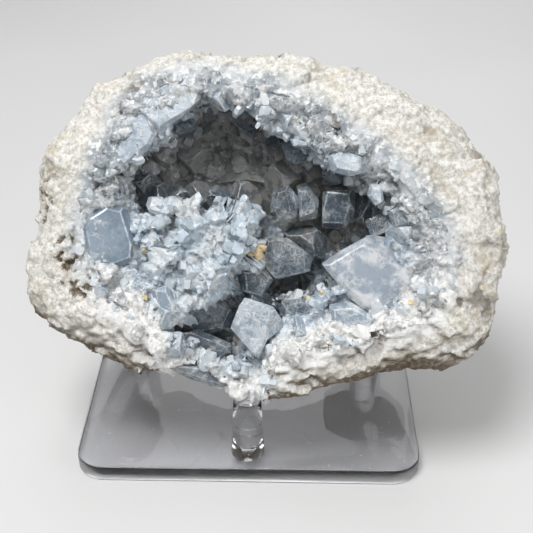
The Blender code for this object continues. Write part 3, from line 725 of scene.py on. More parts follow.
def form_point(direction, outline, middle, heights, squareness, inset, lump, dish):
    """Where a ray of this direction, from a rounded form's middle, leaves it, in the face frame."""
    u, v, w = direction
    angle = math.degrees(math.atan2(v, u))
    rise = math.asin(max(-1.0, min(1.0, w)))
    height, power = (heights[0], squareness[0]) if w > 0 else (heights[1], squareness[1])
    spread = math.cos(rise) ** power * radius_at(outline, angle)
    depth = math.copysign(abs(math.sin(rise)) ** power * height, w)
    place = Vector((spread * math.cos(math.radians(angle)), spread * math.sin(math.radians(angle)), depth))
    swell = lump * lattice.fractal(place / 22.0, 0.9, 2.1, 3) - inset
    place += place.normalized() * swell
    if w > 0:
        place.z -= min(dish * dish_share(place), DISH_LIMIT * place.z)
    return place + Vector((*middle, 0.0))


def settle_on_pegs(place, outward):
    """Draws the underside down behind the front peg's middle, and keeps all of it above the pegs."""
    pull = math.exp(-((place.xy - FRONT_FOOT).length / FOOT_REACH) ** 2)
    facing_down = max(0.0, min(1.0, (-outward.z - SIDE_SLOPE) / (UNDER_SLOPE - SIDE_SLOPE)))
    place.z -= (place.z - REST_HEIGHT) * min(1.0, pull * FOOT_FLATNESS) * facing_down
    place.z = max(place.z, REST_HEIGHT)
    return place


def form_object(name, collection, *form, cuts=30, settle=False):
    """The form's surface, as a cube cut into a grid, blown up to a ball and moved out to the form."""
    surface = bmesh.new()
    bmesh.ops.create_cube(surface, size=2.0)
    bmesh.ops.subdivide_edges(surface, edges=surface.edges, cuts=cuts, use_grid_fill=True)
    for vertex in surface.verts:
        ball = Vector(math.tan(side * math.pi / 4) for side in vertex.co).normalized()
        vertex.co = face_to_world(form_point(ball, *form))
        if settle:
            vertex.co = settle_on_pegs(vertex.co, turn_to_world(ball))
    return crystal_object(surface, name, collection)


def relief_tree():
    """Broken stone: lumps, ridges, chips, grain and pits, fading out where it rests on the pegs."""
    tree, given = new_tree("relief", {
        "Neighbour": "Object", "Lumps": "Float", "Chips": "Float", "Grain": "Float",
        "Pits": "Float", "Pitted": "Vector", "Facets": "Float", "Rest height": "Float",
        "Material": "Material",
    })
    place = node(tree, "GeometryNodeInputPosition").outputs[0]
    normal = node(tree, "GeometryNodeInputNormal").outputs[0]
    swirl = node(tree, "ShaderNodeTexNoise", {"Vector": place, "Scale": 110.0}).outputs["Color"]
    bent = vector_maths(tree, "MULTIPLY_ADD", swirl, (0.006, 0.006, 0.006), place)
    offset = maths(tree, "MULTIPLY", 0.0, 0.0)
    for field, amount in (
        (noise(tree, place, 45.0, 3.0, 0.5), given["Lumps"]),
        (noise(tree, place, 120.0, 5.0, 0.65), given["Lumps"]),
        (noise(tree, place, 480.0, 3.0, 0.6), given["Grain"]),
    ):
        offset = maths(tree, "MULTIPLY_ADD", maths(tree, "SUBTRACT", field, 0.5), amount, offset)
    for scale, share in ((110.0, 0.8), (330.0, 0.5)):
        chips = node(tree, "ShaderNodeTexVoronoi", {"Vector": bent, "Scale": scale}).outputs
        step = maths(tree, "SUBTRACT", node(tree, "ShaderNodeSeparateXYZ", {0: chips["Color"]}).outputs[0], 0.5)
        offset = maths(tree, "MULTIPLY_ADD", step, maths(tree, "MULTIPLY", given["Chips"], share), offset)
        tilt = vector_maths(tree, "SUBTRACT", chips["Color"], (0.5, 0.5, 0.5))
        slant = vector_maths(tree, "DOT_PRODUCT", vector_maths(tree, "SUBTRACT", bent, chips["Position"]), tilt)
        offset = maths(tree, "MULTIPLY_ADD", slant, given["Facets"], offset)
    layered = vector_maths(tree, "MULTIPLY", bent, (1.0, 1.0, 3.2))
    layers = maths(tree, "SUBTRACT", noise(tree, layered, 120.0, 5.0, 0.65), 0.5)
    offset = maths(tree, "MULTIPLY_ADD", layers, maths(tree, "MULTIPLY", given["Lumps"], 1.3), offset)
    blobs = noise(tree, place, 340.0, 2.0, 0.5)
    away = node(tree, "ShaderNodeVectorMath", {0: place, 1: given["Pitted"]}, operation="DISTANCE")
    patch = ramp(tree, away.outputs["Value"], 24 * MM, 6 * MM)
    rare = ramp(tree, noise(tree, place, 33.0, 1.0), 0.62, 0.70)
    pits = maths(tree, "MULTIPLY", ramp(tree, blobs, 0.50, 0.40), maths(tree, "MAXIMUM", patch, rare))
    offset = maths(tree, "SUBTRACT", offset, maths(tree, "MULTIPLY", pits, given["Pits"]))
    height = node(tree, "ShaderNodeSeparateXYZ", {0: place}).outputs["Z"]
    above = maths(tree, "SUBTRACT", height, given["Rest height"])
    offset = maths(tree, "MULTIPLY", offset, ramp(tree, above, 0.3 * MM, 8 * MM))
    neighbour = node(tree, "GeometryNodeObjectInfo", {"Object": given["Neighbour"]}).outputs["Geometry"]
    gap = node(tree, "GeometryNodeProximity", {0: neighbour}).outputs["Distance"]
    shape = given["Geometry"]
    low = maths(tree, "DIVIDE", offset, MM)
    for label, value in {"pit": pits, "rim": ramp(tree, gap, 16 * MM, 1 * MM), "height": low}.items():
        shape = node(
            tree, "GeometryNodeStoreNamedAttribute", {0: shape, "Name": label, "Value": value}
        ).outputs[0]
    shift = vector_maths(tree, "SCALE", normal)
    tree.links.new(offset, shift.node.inputs["Scale"])
    moved = node(tree, "GeometryNodeSetPosition", {"Geometry": shape, "Offset": shift}).outputs[0]
    finish_tree(tree, moved, given["Material"])
    return tree


def children(tree, collection):
    made = node(
        tree, "GeometryNodeCollectionInfo", {"Collection": collection, "Separate Children": True}
    )
    return made.outputs[0]


def stored(tree, name, kind="FLOAT"):
    """A stored attribute's value; the kind is FLOAT or FLOAT_VECTOR."""
    made = node(tree, "GeometryNodeInputNamedAttribute", {"Name": name}, data_type=kind)
    return made.outputs["Attribute"]


def joined(tree, *parts):
    made = node(
        tree, "GeometryNodeMeshBoolean", {"Mesh 2": list(parts)}, operation="UNION", solver="MANIFOLD"
    )
    return made.outputs[0]


def scatter(tree, given, surface, density, least, size, seed):
    """Small crystals standing on a surface, none of them facing away or inside a large crystal."""
    scattered = node(
        tree, "GeometryNodeDistributePointsOnFaces",
        {
            "Mesh": surface, "Distance Min": least, "Density Max": given["Density"],
            "Density Factor": density, "Seed": seed,
        },
        distribute_method="POISSON",
    )
    points = node(
        tree, "GeometryNodeStoreNamedAttribute",
        {0: scattered.outputs["Points"], "Name": "outward", "Value": scattered.outputs["Normal"]},
        data_type="FLOAT_VECTOR",
    ).outputs[0]
    outward = stored(tree, "outward", "FLOAT_VECTOR")
    place = node(tree, "GeometryNodeInputPosition").outputs[0]
    bodies = node(
        tree, "GeometryNodeRealizeInstances", {"Geometry": children(tree, given["Large"])}
    ).outputs[0]
    nearest = node(tree, "GeometryNodeProximity", {0: bodies}).outputs["Position"]
    normal = node(tree, "GeometryNodeInputNormal").outputs[0]
    facing = node(
        tree, "GeometryNodeSampleNearestSurface", {"Mesh": bodies, "Value": normal},
        data_type="FLOAT_VECTOR",
    ).outputs["Value"]
    clear = vector_maths(tree, "DOT_PRODUCT", vector_maths(tree, "SUBTRACT", place, nearest), facing)
    ahead = vector_maths(tree, "SUBTRACT", given["Focus"], place)
    behind = maths(tree, "LESS_THAN", vector_maths(tree, "DOT_PRODUCT", outward, ahead), 0.0)
    crowded = maths(tree, "MAXIMUM", maths(tree, "LESS_THAN", clear, given["Clearance"]), behind)
    kept = node(tree, "GeometryNodeDeleteGeometry", {0: points, "Selection": crowded}).outputs[0]
    aim = vector_maths(tree, "NORMALIZE", ahead)
    lean = node(tree, "ShaderNodeMix", {0: given["Lean"], 4: outward, 5: aim}, data_type="VECTOR").outputs[1]
    upright = node(tree, "FunctionNodeAlignRotationToVector", {"Vector": lean}, axis="Z").outputs[0]
    turn = node(
        tree, "FunctionNodeRandomValue",
        {0: (-0.7, -0.7, -math.pi), 1: (0.7, 0.7, math.pi), "Seed": seed},
        data_type="FLOAT_VECTOR",
    ).outputs[0]
    turned = node(
        tree, "FunctionNodeRotateRotation", {0: upright, 1: turn}, rotation_space="LOCAL"
    ).outputs[0]
    chance = node(
        tree, "FunctionNodeRandomValue", {2: 0.0, 3: 1.0, "Seed": seed}, data_type="FLOAT"
    ).outputs[1]
    spread = maths(tree, "MULTIPLY_ADD", maths(tree, "POWER", chance, 2.0), 1.0, 0.55)
    return node(
        tree, "GeometryNodeInstanceOnPoints",
        {
            "Points": kept, "Instance": children(tree, given["Seeds"]), "Pick Instance": True,
            "Rotation": turned, "Scale": maths(tree, "MULTIPLY", spread, size),
        },
    ).outputs[0]


def growth_tree(name, *densities):
    """Crystals grown on a surface where these stored values are high, joined to the large ones."""
    tree, given = new_tree(name, {
        "Surface": "Object", "Seeds": "Collection", "Large": "Collection", "Bodies": "Collection",
        "Spacing": "Float", "Density": "Float", "Size": "Float", "Clearance": "Float",
        "Lean": "Float", "Seed": "Int", "Focus": "Vector", "Patch low": "Float",
        "Patch high": "Float", "Material": "Material",
    })
    surface = node(tree, "GeometryNodeObjectInfo", {"Object": given["Surface"]}).outputs["Geometry"]
    place = node(tree, "GeometryNodeInputPosition").outputs[0]
    density = ramp(tree, noise(tree, place, 70.0, 2.0), given["Patch low"], given["Patch high"])
    for each in densities:
        density = maths(tree, "MULTIPLY", density, stored(tree, each))
    grown = scatter(tree, given, surface, density, given["Spacing"], given["Size"], given["Seed"])
    finish_tree(tree, joined(tree, children(tree, given["Bodies"]), grown), given["Material"])
    return tree


def cut_by(crystal, point, normal):
    """Cuts the crystal by a plane and closes it there."""
    geometry = crystal.verts[:] + crystal.edges[:] + crystal.faces[:]
    cut = bmesh.ops.bisect_plane(
        crystal, geom=geometry, dist=1e-7, plane_co=point, plane_no=normal, clear_outer=True
    )
    edges = [part for part in cut["geom_cut"] if isinstance(part, bmesh.types.BMEdge)]
    if edges:
        bmesh.ops.contextual_create(crystal, geom=edges)


def crystal_shape(length, width, thickness, chance, bevels=True):
    """One celestite crystal, root at the origin and tip along +X, broad face along +Z."""
    crystal = bmesh.new()
    bmesh.ops.create_cube(crystal, size=1.0)
    bmesh.ops.scale(crystal, verts=crystal.verts, vec=(length, width, thickness))
    bmesh.ops.translate(crystal, verts=crystal.verts, vec=(length / 2, 0, 0))
    ahead, aside = math.sin(END_HALF_ANGLE), math.cos(END_HALF_ANGLE)
    for side in (-1, 1):
        start = length - chance.uniform(0.0, 0.12) * width
        cut_by(crystal, (start, 0, 0), (ahead, side * aside, 0))
    for side in (-1, 1):
        height = thickness * chance.uniform(0.12, 0.34)
        slope = (math.cos(DOME_SLOPE), 0, side * math.sin(DOME_SLOPE))
        cut_by(crystal, (length, 0, side * height * 0.6), slope)
    for side in (-1, 1) if bevels else ():
        for turn in (-1, 1):
            reach = width / 2 * chance.uniform(0.72, 0.95)
            slope = (0, side * math.cos(DOME_SLOPE), turn * math.sin(DOME_SLOPE))
            cut_by(crystal, (0, side * reach, turn * thickness * 0.36), slope)
    return crystal


def soften(crystal, width):
    """Takes off the crystal's sharp edges."""
    bmesh.ops.remove_doubles(crystal, verts=crystal.verts, dist=width * 0.3)
    bmesh.ops.dissolve_limit(crystal, angle_limit=math.radians(1.0), verts=crystal.verts, edges=crystal.edges)
    worn = crystal.faces.layers.float.new("worn")
    cut = bmesh.ops.bevel(
        crystal, geom=crystal.edges[:], offset=width, segments=1, affect="EDGES", clamp_overlap=True
    )
    for face in cut["faces"]:
        face[worn] = 1.0
    bmesh.ops.remove_doubles(crystal, verts=crystal.verts, dist=width * 0.02)


def tablet_shape(row, chance):
    """A flat crystal in the face frame, with sloping faces round its front."""
    front, slope_u, slope_v, thickness, corners = row
    corners = [Vector(corner) for corner in corners]
    middle = sum(corners, Vector((0, 0))) / len(corners)
    crystal = bmesh.new()
    rings = []
    for depth, share in ((0, 1.0), (thickness, 0.85)):
        places = [middle + (corner - middle) * share for corner in corners]
        rings.append([
            crystal.verts.new((*at, front + slope_u * (at.x - middle.x) + slope_v * (at.y - middle.y) - depth))
            for at in places
        ])
    crystal.faces.new(rings[0])
    crystal.faces.new(rings[1])
    for number in range(len(corners)):
        after = (number + 1) % len(corners)
        crystal.faces.new((rings[0][number], rings[0][after], rings[1][after], rings[1][number]))
    bmesh.ops.recalc_face_normals(crystal, faces=crystal.faces)
    for number, corner in enumerate(corners):
        along = corners[(number + 1) % len(corners)] - corner
        aside = Vector((along.y, -along.x)).normalized()
        half = corner + along / 2
        if aside.dot(half - middle) < 0:
            aside = -aside
        inset = chance.uniform(0.15, 0.9) * min(3.0, thickness * 0.2)
        height = front + slope_u * (half.x - middle.x) + slope_v * (half.y - middle.y)
        rise = chance.uniform(0.6, 1.4)
        cut_by(crystal, (*(half - aside * inset), height), Vector((*aside, rise)).normalized())
    return crystal


def crystal_object(crystal, name, collection):
    bmesh.ops.triangulate(crystal, faces=crystal.faces)
    bmesh.ops.recalc_face_normals(crystal, faces=crystal.faces)
    mesh = bpy.data.meshes.new(name)
    crystal.to_mesh(mesh)
    crystal.free()
    return add_object(name, mesh, collection)


def helper_collection(name):
    made = bpy.data.collections.new(name)
    bpy.context.scene.collection.children.link(made)
    return made


def discard(*collections):
    for collection in collections:
        for obj in list(collection.objects):
            bpy.data.objects.remove(obj)
        bpy.data.collections.remove(collection)


def large_crystals(name, tablets, rows, proud=0.3, edge=0.35):
    """Large crystals in a collection: flat ones and long ones."""
    collection = helper_collection(name)
    chance = random.Random(17)
    for number, row in enumerate(tablets):
        crystal = tablet_shape(row, chance)
        soften(crystal, edge)
        for vertex in crystal.verts:
            vertex.co = face_to_world(vertex.co)
        crystal_object(crystal, f"{name}_tablet_{number}", collection)
    for number, (root, tip, width, thickness, turn) in enumerate(rows):
        along = Vector(tip) - Vector(root)
        crystal = crystal_shape(along.length + proud, width + proud, thickness + proud, chance)
        soften(crystal, edge)
        forward = along.normalized()
        broad = Vector((0, 0, 1)) - forward * forward.z
        if broad.length < 0.2:
            broad = Vector((0, 1, 0)) - forward * forward.y
        broad = Matrix.Rotation(math.radians(turn), 3, forward) @ broad.normalized()
        axes = Matrix((forward, broad.cross(forward), broad)).transposed()
        for vertex in crystal.verts:
            vertex.co = face_to_world(Vector(root) + axes @ vertex.co)
        crystal_object(crystal, f"{name}_{number}", collection)
    return collection


def seed_crystals(name, count=9):
    """A few small crystals about one metre wide, tip along +Z, to be scaled where they grow."""
    collection = helper_collection(name)
    chance = random.Random(3)
    for number in range(count):
        length = chance.uniform(0.9, 1.9)
        crystal = crystal_shape(
            length, chance.uniform(0.7, 1.1), chance.uniform(0.45, 0.95), chance, bevels=number % 2
        )
        turn = Matrix.Rotation(math.radians(-90), 3, "Y")
        for vertex in crystal.verts:
            vertex.co = turn @ (vertex.co - Vector((length * 0.5, 0, 0)))
        crystal_object(crystal, f"{name}_{number}", collection)
    return collection


def smooth_step(value, low, high):
    share = np.clip((value - low) / (high - low), 0.0, 1.0)
    return share * share * (3 - 2 * share)


def store_tones(obj):
    """Stores where each point lies: near the crust's edge, and in the parts of the hollow painted with shade."""
    places = np.empty(len(obj.data.vertices) * 3)
    obj.data.vertices.foreach_get("co", places)
    x, y, z = ((places.reshape(-1, 3) - np.array(GEODE_MIDDLE)) / MM).T
    cos, sin = math.cos(FACE_LEAN), math.sin(FACE_LEAN)
    u, v, w = x, sin * y + cos * z, sin * z - cos * y
    angles, radii = zip(*HOLLOW_OUTLINE)
    along, across = u - HOLLOW_MIDDLE[0], v - HOLLOW_MIDDLE[1]
    reach = np.interp(np.degrees(np.arctan2(across, along)), angles, radii, period=360)
    share = np.hypot(along, across) / reach
    away = np.min(
        [np.hypot((u - mid[0]) / size[0], (v - mid[1]) / size[1]) for mid, size in SHADED_PARTS], axis=0
    )
    dark = smooth_step(away, 1.12, 0.72) * smooth_step(w, 6.0, -5.0)
    edge = smooth_step(share, 0.70, 1.0)
    for name, values in {"edge": edge, "dark": dark, "light": (1 - dark) * (1 - 0.5 * edge)}.items():
        tone = obj.data.attributes.new(name, "FLOAT", "POINT")
        tone.data.foreach_set("value", values.astype(np.float32))


def dress(piece, slot, *nodes):
    """Hands the finished piece to the frame in place of these CAD nodes."""
    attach(piece, BODY)
    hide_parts(*nodes)
    return piece


def weather(piece, neighbour, material, grid, smoothing, lumps, chips, grain, pits, slant, rest):
    """Remeshes the piece finely, rounds it and gives it the relief of broken stone."""
    remesh = piece.modifiers.new("grid", "REMESH")
    remesh.mode = "VOXEL"
    remesh.voxel_size = grid
    smooth = piece.modifiers.new("smooth", "SMOOTH")
    smooth.iterations = smoothing
    add_tree(piece, relief_tree(), {
        "Neighbour": neighbour, "Lumps": lumps, "Chips": chips, "Grain": grain, "Pits": pits,
        "Pitted": face_to_world((-78, 10, -4)), "Facets": slant, "Rest height": rest, "Material": material,
    })
    baked(piece)
    piece.data.shade_smooth()


def growth_values(surface, seeds, large, bodies, spacing, size, material, seed, **others):
    values = {
        "Surface": surface, "Seeds": seeds, "Large": large, "Bodies": bodies, "Spacing": spacing,
        "Density": 160000.0, "Size": size, "Clearance": 0.5 * MM, "Lean": 0.3, "Seed": seed,
        "Focus": face_to_world((-6, 0, 60)), "Patch low": 0.45, "Patch high": 0.6,
        "Material": material,
    }
    values.update(others)
    return values


class GEODE_OT_rock(bpy.types.Operator):
    """Builds the rock with its relief"""

    bl_idname = "geode.rock"
    bl_label = "Rock"

    def execute(self, context):
        values = context.scene.geode.rock
        rock = copy_of_node("geode_rock", "rock")
        weather(
            rock, frame["nodes"]["crystal_crust"], rock_material(), values.grid, 12,
            values.lump, values.chip, values.grain, values.pit, 0.3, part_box("geode_rock")[0][2],
        )
        dress(rock, "rock", "geode_rock")
        return {"FINISHED"}


class GEODE_OT_crust(bpy.types.Operator):
    """Builds the broken crust that the crystals grow from"""

    bl_idname = "geode.crust"
    bl_label = "Crust"

    def execute(self, context):
        values = context.scene.geode.crystal
        helpers = helper_collection("forms")
        stone = (ROCK_OUTLINE, (0, 0), (19, 56), (0.72, 0.82))
        hollow = (HOLLOW_OUTLINE, HOLLOW_MIDDLE, (60, 34), (0.3, 0.7))
        crust = form_object("crust", None, *stone, -0.35, 2.6, DISH_DEPTH, cuts=40, settle=True)
        for name, operation, form in (
            ("bed", "INTERSECT", (*hollow, -3.4, 1.2, 0.0)),
            ("void", "DIFFERENCE", (VOID_OUTLINE, VOID_MIDDLE, (50, 27), (0.4, 0.75), 0.0, 1.5, 0.0)),
            ("pocket", "DIFFERENCE", (POCKET_OUTLINE, POCKET_MIDDLE, (50, 12), (0.4, 0.8), 0.0, 1.0, 0.0)),
        ):
            cut = crust.modifiers.new(name, "BOOLEAN")
            cut.object = form_object(name, helpers, *form)
            cut.operation = operation
            cut.solver = "MANIFOLD"
        weather(
            crust, frame["nodes"]["geode_rock"], crust_material(), values.grid, 5,
            1.4 * MM, 1.2 * MM, 0.6 * MM, 0.0, 0.9, REST_HEIGHT,
        )
        discard(helpers)
        store_tones(crust)
        dress(crust, "celestite", "crystal_crust")
        return {"FINISHED"}


class GEODE_OT_broken_mass(bpy.types.Operator):
    """Builds the broken pale mass left of the middle"""

    bl_idname = "geode.broken_mass"
    bl_label = "Broken mass"

    def execute(self, context):
        bodies = large_crystals("bodies", MASS_TABLETS, MASS_CRYSTALS)
        tree, given = new_tree("join_mass", {"Bodies": "Collection"})
        node(tree, "NodeGroupOutput", {0: joined(tree, children(tree, given["Bodies"]))})
        mass = add_object("broken_mass", bpy.data.meshes.new("broken_mass"))
        add_tree(mass, tree, {"Bodies": bodies})
        weather(
            mass, frame["nodes"]["geode_rock"], mass_material(), 0.7 * MM, 1,
            0.9 * MM, 1.2 * MM, 0.3 * MM, 0.0, 1.2, -1.0,
        )
        discard(bodies)
        store_tones(mass)
        dress(mass, "celestite", "crystal_crust")
        return {"FINISHED"}


class GEODE_OT_crystals(bpy.types.Operator):
    """Builds the large crystals and the small ones around them"""

    bl_idname = "geode.crystals"
    bl_label = "Crystals"

    def execute(self, context):
        values = context.scene.geode.crystal
        crust = bpy.data.objects["crust"]
        seeds = seed_crystals("seeds")
        none = helper_collection("none")
        milky = large_crystals("milky", MILKY_TABLETS, MILKY_CRYSTALS)
        clear = large_crystals("clear", CLEAR_TABLETS, CLEAR_CRYSTALS)
        veiled = large_crystals("veiled", VEILED_TABLETS, ())
        smooth = large_crystals("smooth", SMOOTH_TABLETS, ())
        every = large_crystals(
            "every", MILKY_TABLETS + CLEAR_TABLETS + VEILED_TABLETS + SMOOTH_TABLETS + MASS_TABLETS,
            MILKY_CRYSTALS + CLEAR_CRYSTALS + MASS_CRYSTALS,
        )
        for name, densities, spacing, size, bodies, avoid, material, others in (
            ("druse", ("light",), values.spacing, values.small, none, every, druse_material(), {}),
            ("milky_crystals", ("light",), 6 * MM, 4 * MM, milky, every, milky_material(), {"Density": 2000.0}),
            ("clear_crystals", ("dark",), 6.5 * MM, 9 * MM, clear, milky, clear_material(), {
                "Patch low": 0.2, "Patch high": 0.3, "Lean": 0.5, "Clearance": 1.5 * MM,
            }),
            ("veiled_crystals", (), 1.0, 1 * MM, veiled, every, veiled_material(), {"Density": 0.0}),
            ("smooth_crystal", (), 1.0, 1 * MM, smooth, every, smooth_material(), {"Density": 0.0}),
            ("mass_blades", ("light",), 3.2 * MM, 3.4 * MM, none, veiled, bpy.data.materials["broken_celestite"], {
                "Surface": bpy.data.objects["broken_mass"], "Patch low": 0.42, "Patch high": 0.56, "Lean": 0.2,
            }),
        ):
            piece = add_object(name, bpy.data.meshes.new(name))
            add_tree(piece, growth_tree(f"{name}_growth", *densities), growth_values(
                crust, seeds, avoid, bodies, spacing, size, material, values.seed, **others
            ))
            baked(piece)
            dress(piece, "celestite", "crystal_crust")
        discard(seeds, none, milky, clear, veiled, smooth, every)
        return {"FINISHED"}


def flake_tree():
    """A flake on each point, turned and scaled by the point's stored values."""
    tree, given = new_tree("flakes", {"Flake": "Object", "Material": "Material"})
    flake = node(tree, "GeometryNodeObjectInfo", {"Object": given["Flake"]}).outputs["Geometry"]
    upright = node(
        tree, "FunctionNodeAlignRotationToVector", {"Vector": stored(tree, "outward", "FLOAT_VECTOR")}, axis="Z"
    ).outputs[0]
    turn = node(
        tree, "FunctionNodeRandomValue",
        {0: (-0.3, -0.3, -math.pi), 1: (0.3, 0.3, math.pi), "Seed": 4}, data_type="FLOAT_VECTOR",
    ).outputs[0]
    turned = node(
        tree, "FunctionNodeRotateRotation", {0: upright, 1: turn}, rotation_space="LOCAL"
    ).outputs[0]
    placed = node(tree, "GeometryNodeInstanceOnPoints", {
        "Points": given["Geometry"], "Instance": flake, "Rotation": turned, "Scale": stored(tree, "size"),
    })
    finish_tree(tree, placed.outputs[0], given["Material"])
    return tree


class GEODE_OT_flakes(bpy.types.Operator):
    """Builds the flakes of ochre clay that lie on the crystals"""

    bl_idname = "geode.flakes"
    bl_label = "Clay flakes"

    def execute(self, context):
        shape = bmesh.new()
        bmesh.ops.create_icosphere(shape, subdivisions=3, radius=0.5)
        for vertex in shape.verts:
            lump = lattice.fractal(vertex.co * 3.0, 0.8, 2.2, 3)
            vertex.co *= 1.0 + 0.45 * lump
            vertex.co.z *= 0.45
        flake = crystal_object(shape, "flake", None)
        flake.data.shade_smooth()
        places, normals, sizes = [], [], []
        for u, v, size in FLAKES:
            hits = []
            for name in GROWN_PIECES:
                hit, place, normal, face = bpy.data.objects[name].ray_cast(face_to_world((u, v, 80)), -OUTWARD)
                if hit:
                    hits.append((place.dot(OUTWARD), place, normal))
            if not hits:
                raise RuntimeError(f"no crystal lies under the flake at {u}, {v}")
            height, place, normal = max(hits, key=lambda each: each[0])
            places.append(place)
            normals.append(normal)
            sizes.append(size * MM)
        mesh = bpy.data.meshes.new("clay_flakes")
        mesh.from_pydata(places, [], [])
        outward = mesh.attributes.new("outward", "FLOAT_VECTOR", "POINT")
        outward.data.foreach_set("vector", [side for normal in normals for side in normal])
        mesh.attributes.new("size", "FLOAT", "POINT").data.foreach_set("value", sizes)
        flakes = add_object("clay_flakes", mesh)
        add_tree(flakes, flake_tree(), {"Flake": flake, "Material": ochre_material()})
        baked(flakes)
        bpy.data.objects.remove(flake)
        dress(flakes, "rock", "crystal_crust")
        return {"FINISHED"}


def peg_tree():
    """One tapered peg, turned from its outline, on each of the given feet."""
    tree, given = new_tree("pegs", {"Feet": "Object", "Peg": "Object", "Material": "Material"})
    outline = node(tree, "GeometryNodeObjectInfo", {"Object": given["Peg"]}).outputs["Geometry"]
    feet = node(tree, "GeometryNodeObjectInfo", {"Object": given["Feet"]}).outputs["Geometry"]
    placed = node(tree, "GeometryNodeInstanceOnPoints", {"Points": feet, "Instance": outline})
    finish_tree(tree, placed.outputs[0], given["Material"])
    return tree


def turned_peg(outline, sides):
    """A peg turned from its outline of radii and heights in mm."""
    shape = bmesh.new()
    rings = []
    for radius, height in outline:
        ring = []
        for number in range(sides):
            angle = math.tau * number / sides
            ring.append(shape.verts.new((
                radius * math.cos(angle) * MM, radius * math.sin(angle) * MM, height * MM
            )))
        rings.append(ring)
    for low, high in zip(rings, rings[1:]):
        for number in range(sides):
            after = (number + 1) % sides
            shape.faces.new((low[number], low[after], high[after], high[number]))
    shape.faces.new(reversed(rings[0]))
    shape.faces.new(rings[-1])
    mesh = bpy.data.meshes.new("peg")
    shape.to_mesh(mesh)
    shape.free()
    return add_object("peg", mesh)


class GEODE_OT_stand(bpy.types.Operator):
    """Builds the clear plate and its three pegs"""

    bl_idname = "geode.stand"
    bl_label = "Stand"

    def execute(self, context):
        values = context.scene.geode.stand
        acrylic = acrylic_material()
        low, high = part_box("stand_plate")
        shape = bmesh.new()
        corner, steps = values.corner, 12
        outline = []
        for side_x, side_y, start in ((1, 1, 0), (-1, 1, 90), (-1, -1, 180), (1, -1, 270)):
            for step in range(steps + 1):
                angle = math.radians(start + 90 * step / steps)
                outline.append((
                    side_x * (high[0] - corner) + corner * math.cos(angle),
                    side_y * (high[1] - corner) + corner * math.sin(angle),
                ))
        bottom = [shape.verts.new((*at, low[2])) for at in outline]
        top = [shape.verts.new((*at, high[2])) for at in outline]
        shape.faces.new(reversed(bottom))
        shape.faces.new(top)
        for number in range(len(outline)):
            after = (number + 1) % len(outline)
            shape.faces.new((bottom[number], bottom[after], top[after], top[number]))
        mesh = bpy.data.meshes.new("acrylic_plate")
        shape.to_mesh(mesh)
        shape.free()
        plate = add_object("acrylic_plate", mesh)
        mesh.materials.append(acrylic)
        bevel = plate.modifiers.new("edges", "BEVEL")
        bevel.width = values.edge
        bevel.segments = 4
        bevel.limit_method = "ANGLE"
        baked(plate)
        plate.data.shade_smooth()
        plate.data.set_sharp_from_angle(angle=math.radians(35))
        dress(plate, "acrylic", "stand_plate")

        peg = turned_peg(PEG_OUTLINE, 64)
        feet = add_object("feet", bpy.data.meshes.new("feet"))
        feet.data.from_pydata([(*foot, PLATE_HEIGHT) for foot in PEG_FEET], [], [])
        pegs = add_object("acrylic_pegs", bpy.data.meshes.new("acrylic_pegs"))
        add_tree(pegs, peg_tree(), {"Feet": feet, "Peg": peg, "Material": acrylic})
        baked(pegs)
        bpy.data.objects.remove(peg)
        bpy.data.objects.remove(feet)
        pegs.data.shade_smooth()
        pegs.data.set_sharp_from_angle(angle=math.radians(25))
        dress(pegs, "acrylic", "peg_front", "peg_back_left", "peg_back_right")
        return {"FINISHED"}


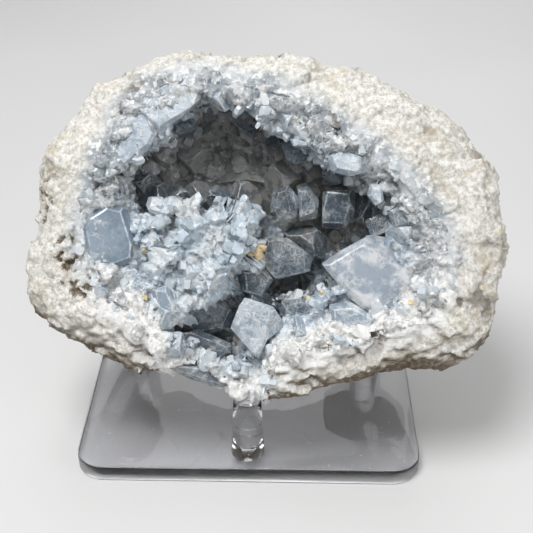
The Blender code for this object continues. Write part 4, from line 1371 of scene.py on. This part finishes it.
class GEODE_OT_stage(bpy.types.Operator):
    """Sets up the pale floor, the soft lights and the camera"""

    bl_idname = "geode.stage"
    bl_label = "Stage"

    def execute(self, context):
        scene = context.scene
        paint, tree, shader, place = new_material("floor")
        cloud = ramp(tree, noise(tree, place, 3.0, 2.0), 0.3, 0.7, 0.62, 0.66)
        tree.links.new(cloud, shader.inputs["Base Color"])
        shader.inputs["Roughness"].default_value = 0.6
        shape = bmesh.new()
        bmesh.ops.create_grid(shape, size=3.0)
        mesh = bpy.data.meshes.new("floor")
        shape.to_mesh(mesh)
        shape.free()
        mesh.materials.append(paint)
        floor = add_object("floor", mesh)
        floor.location.z = -0.2 * MM

        world = bpy.data.worlds.new("studio")
        scene.world = world
        world.use_nodes = True
        sky = world.node_tree
        way = node(sky, "ShaderNodeTexCoord").outputs["Generated"]
        rise = node(sky, "ShaderNodeSeparateXYZ", {0: way}).outputs["Z"]
        glow = mix(sky, ramp(sky, rise, 0.0, 0.9), opaque((0.34, 0.345, 0.35)), opaque((1.0, 1.0, 1.0)))
        sky.links.new(glow, sky.nodes["Background"].inputs[0])
        sky.nodes["Background"].inputs[1].default_value = 0.48
        for name, place, size, power in (
            ("key", (-0.25, -0.30, 0.95), 0.45, 8.0),
            ("front", (0.05, -1.1, 0.75), 0.25, 2.0),
            ("fill", (0.9, -0.6, 0.5), 0.5, 2.6),
            ("back", (0.1, 0.8, 0.6), 0.8, 2.0),
        ):
            data = bpy.data.lights.new(name, "AREA")
            data.shape = "DISK"
            data.size = size
            data.energy = power
            light = add_object(name, data)
            light.location = place
            light.rotation_euler = (Vector((0, 0, 0.08)) - Vector(place)).to_track_quat("-Z", "Y").to_euler()

        data = bpy.data.cameras.new("camera")
        data.sensor_width = 36.0
        data.lens = 67.54
        camera = add_object("camera", data)
        camera.location = Vector((13.5, -315.7, 270.4)) * MM
        camera.rotation_euler = (math.radians(90 - 32.2), 0.0, math.radians(1.28))
        scene.camera = camera
        scene.view_settings.view_transform = "Standard"
        return {"FINISHED"}


class GeodeSettings(bpy.types.PropertyGroup):
    """All of the geode's sizes and colours."""

    rock: PointerProperty(type=RockSettings)
    crystal: PointerProperty(type=CrystalSettings)
    stand: PointerProperty(type=StandSettings)


OPERATORS = (
    GEODE_OT_rock, GEODE_OT_crust, GEODE_OT_broken_mass, GEODE_OT_crystals, GEODE_OT_flakes,
    GEODE_OT_stand, GEODE_OT_stage,
)


class GEODE_PT_panel(bpy.types.Panel):
    """Lists the steps that build the geode"""

    bl_idname = "GEODE_PT_panel"
    bl_label = "Celestite geode"
    bl_space_type = "VIEW_3D"
    bl_region_type = "UI"
    bl_category = "Geode"

    def draw(self, context):
        for operator in OPERATORS:
            self.layout.operator(operator.bl_idname)


CLASSES = (RockSettings, CrystalSettings, StandSettings, GeodeSettings, *OPERATORS, GEODE_PT_panel)


def register():
    for each in CLASSES:
        bpy.utils.register_class(each)
    bpy.types.Scene.geode = PointerProperty(type=GeodeSettings)


def unregister():
    del bpy.types.Scene.geode
    for each in reversed(CLASSES):
        bpy.utils.unregister_class(each)


def main():
    register()
    bpy.ops.geode.rock()
    bpy.ops.geode.crust()
    bpy.ops.geode.broken_mass()
    bpy.ops.geode.crystals()
    bpy.ops.geode.flakes()
    bpy.ops.geode.stand()
    bpy.ops.geode.stage()


if __name__ == "__main__":
    main()
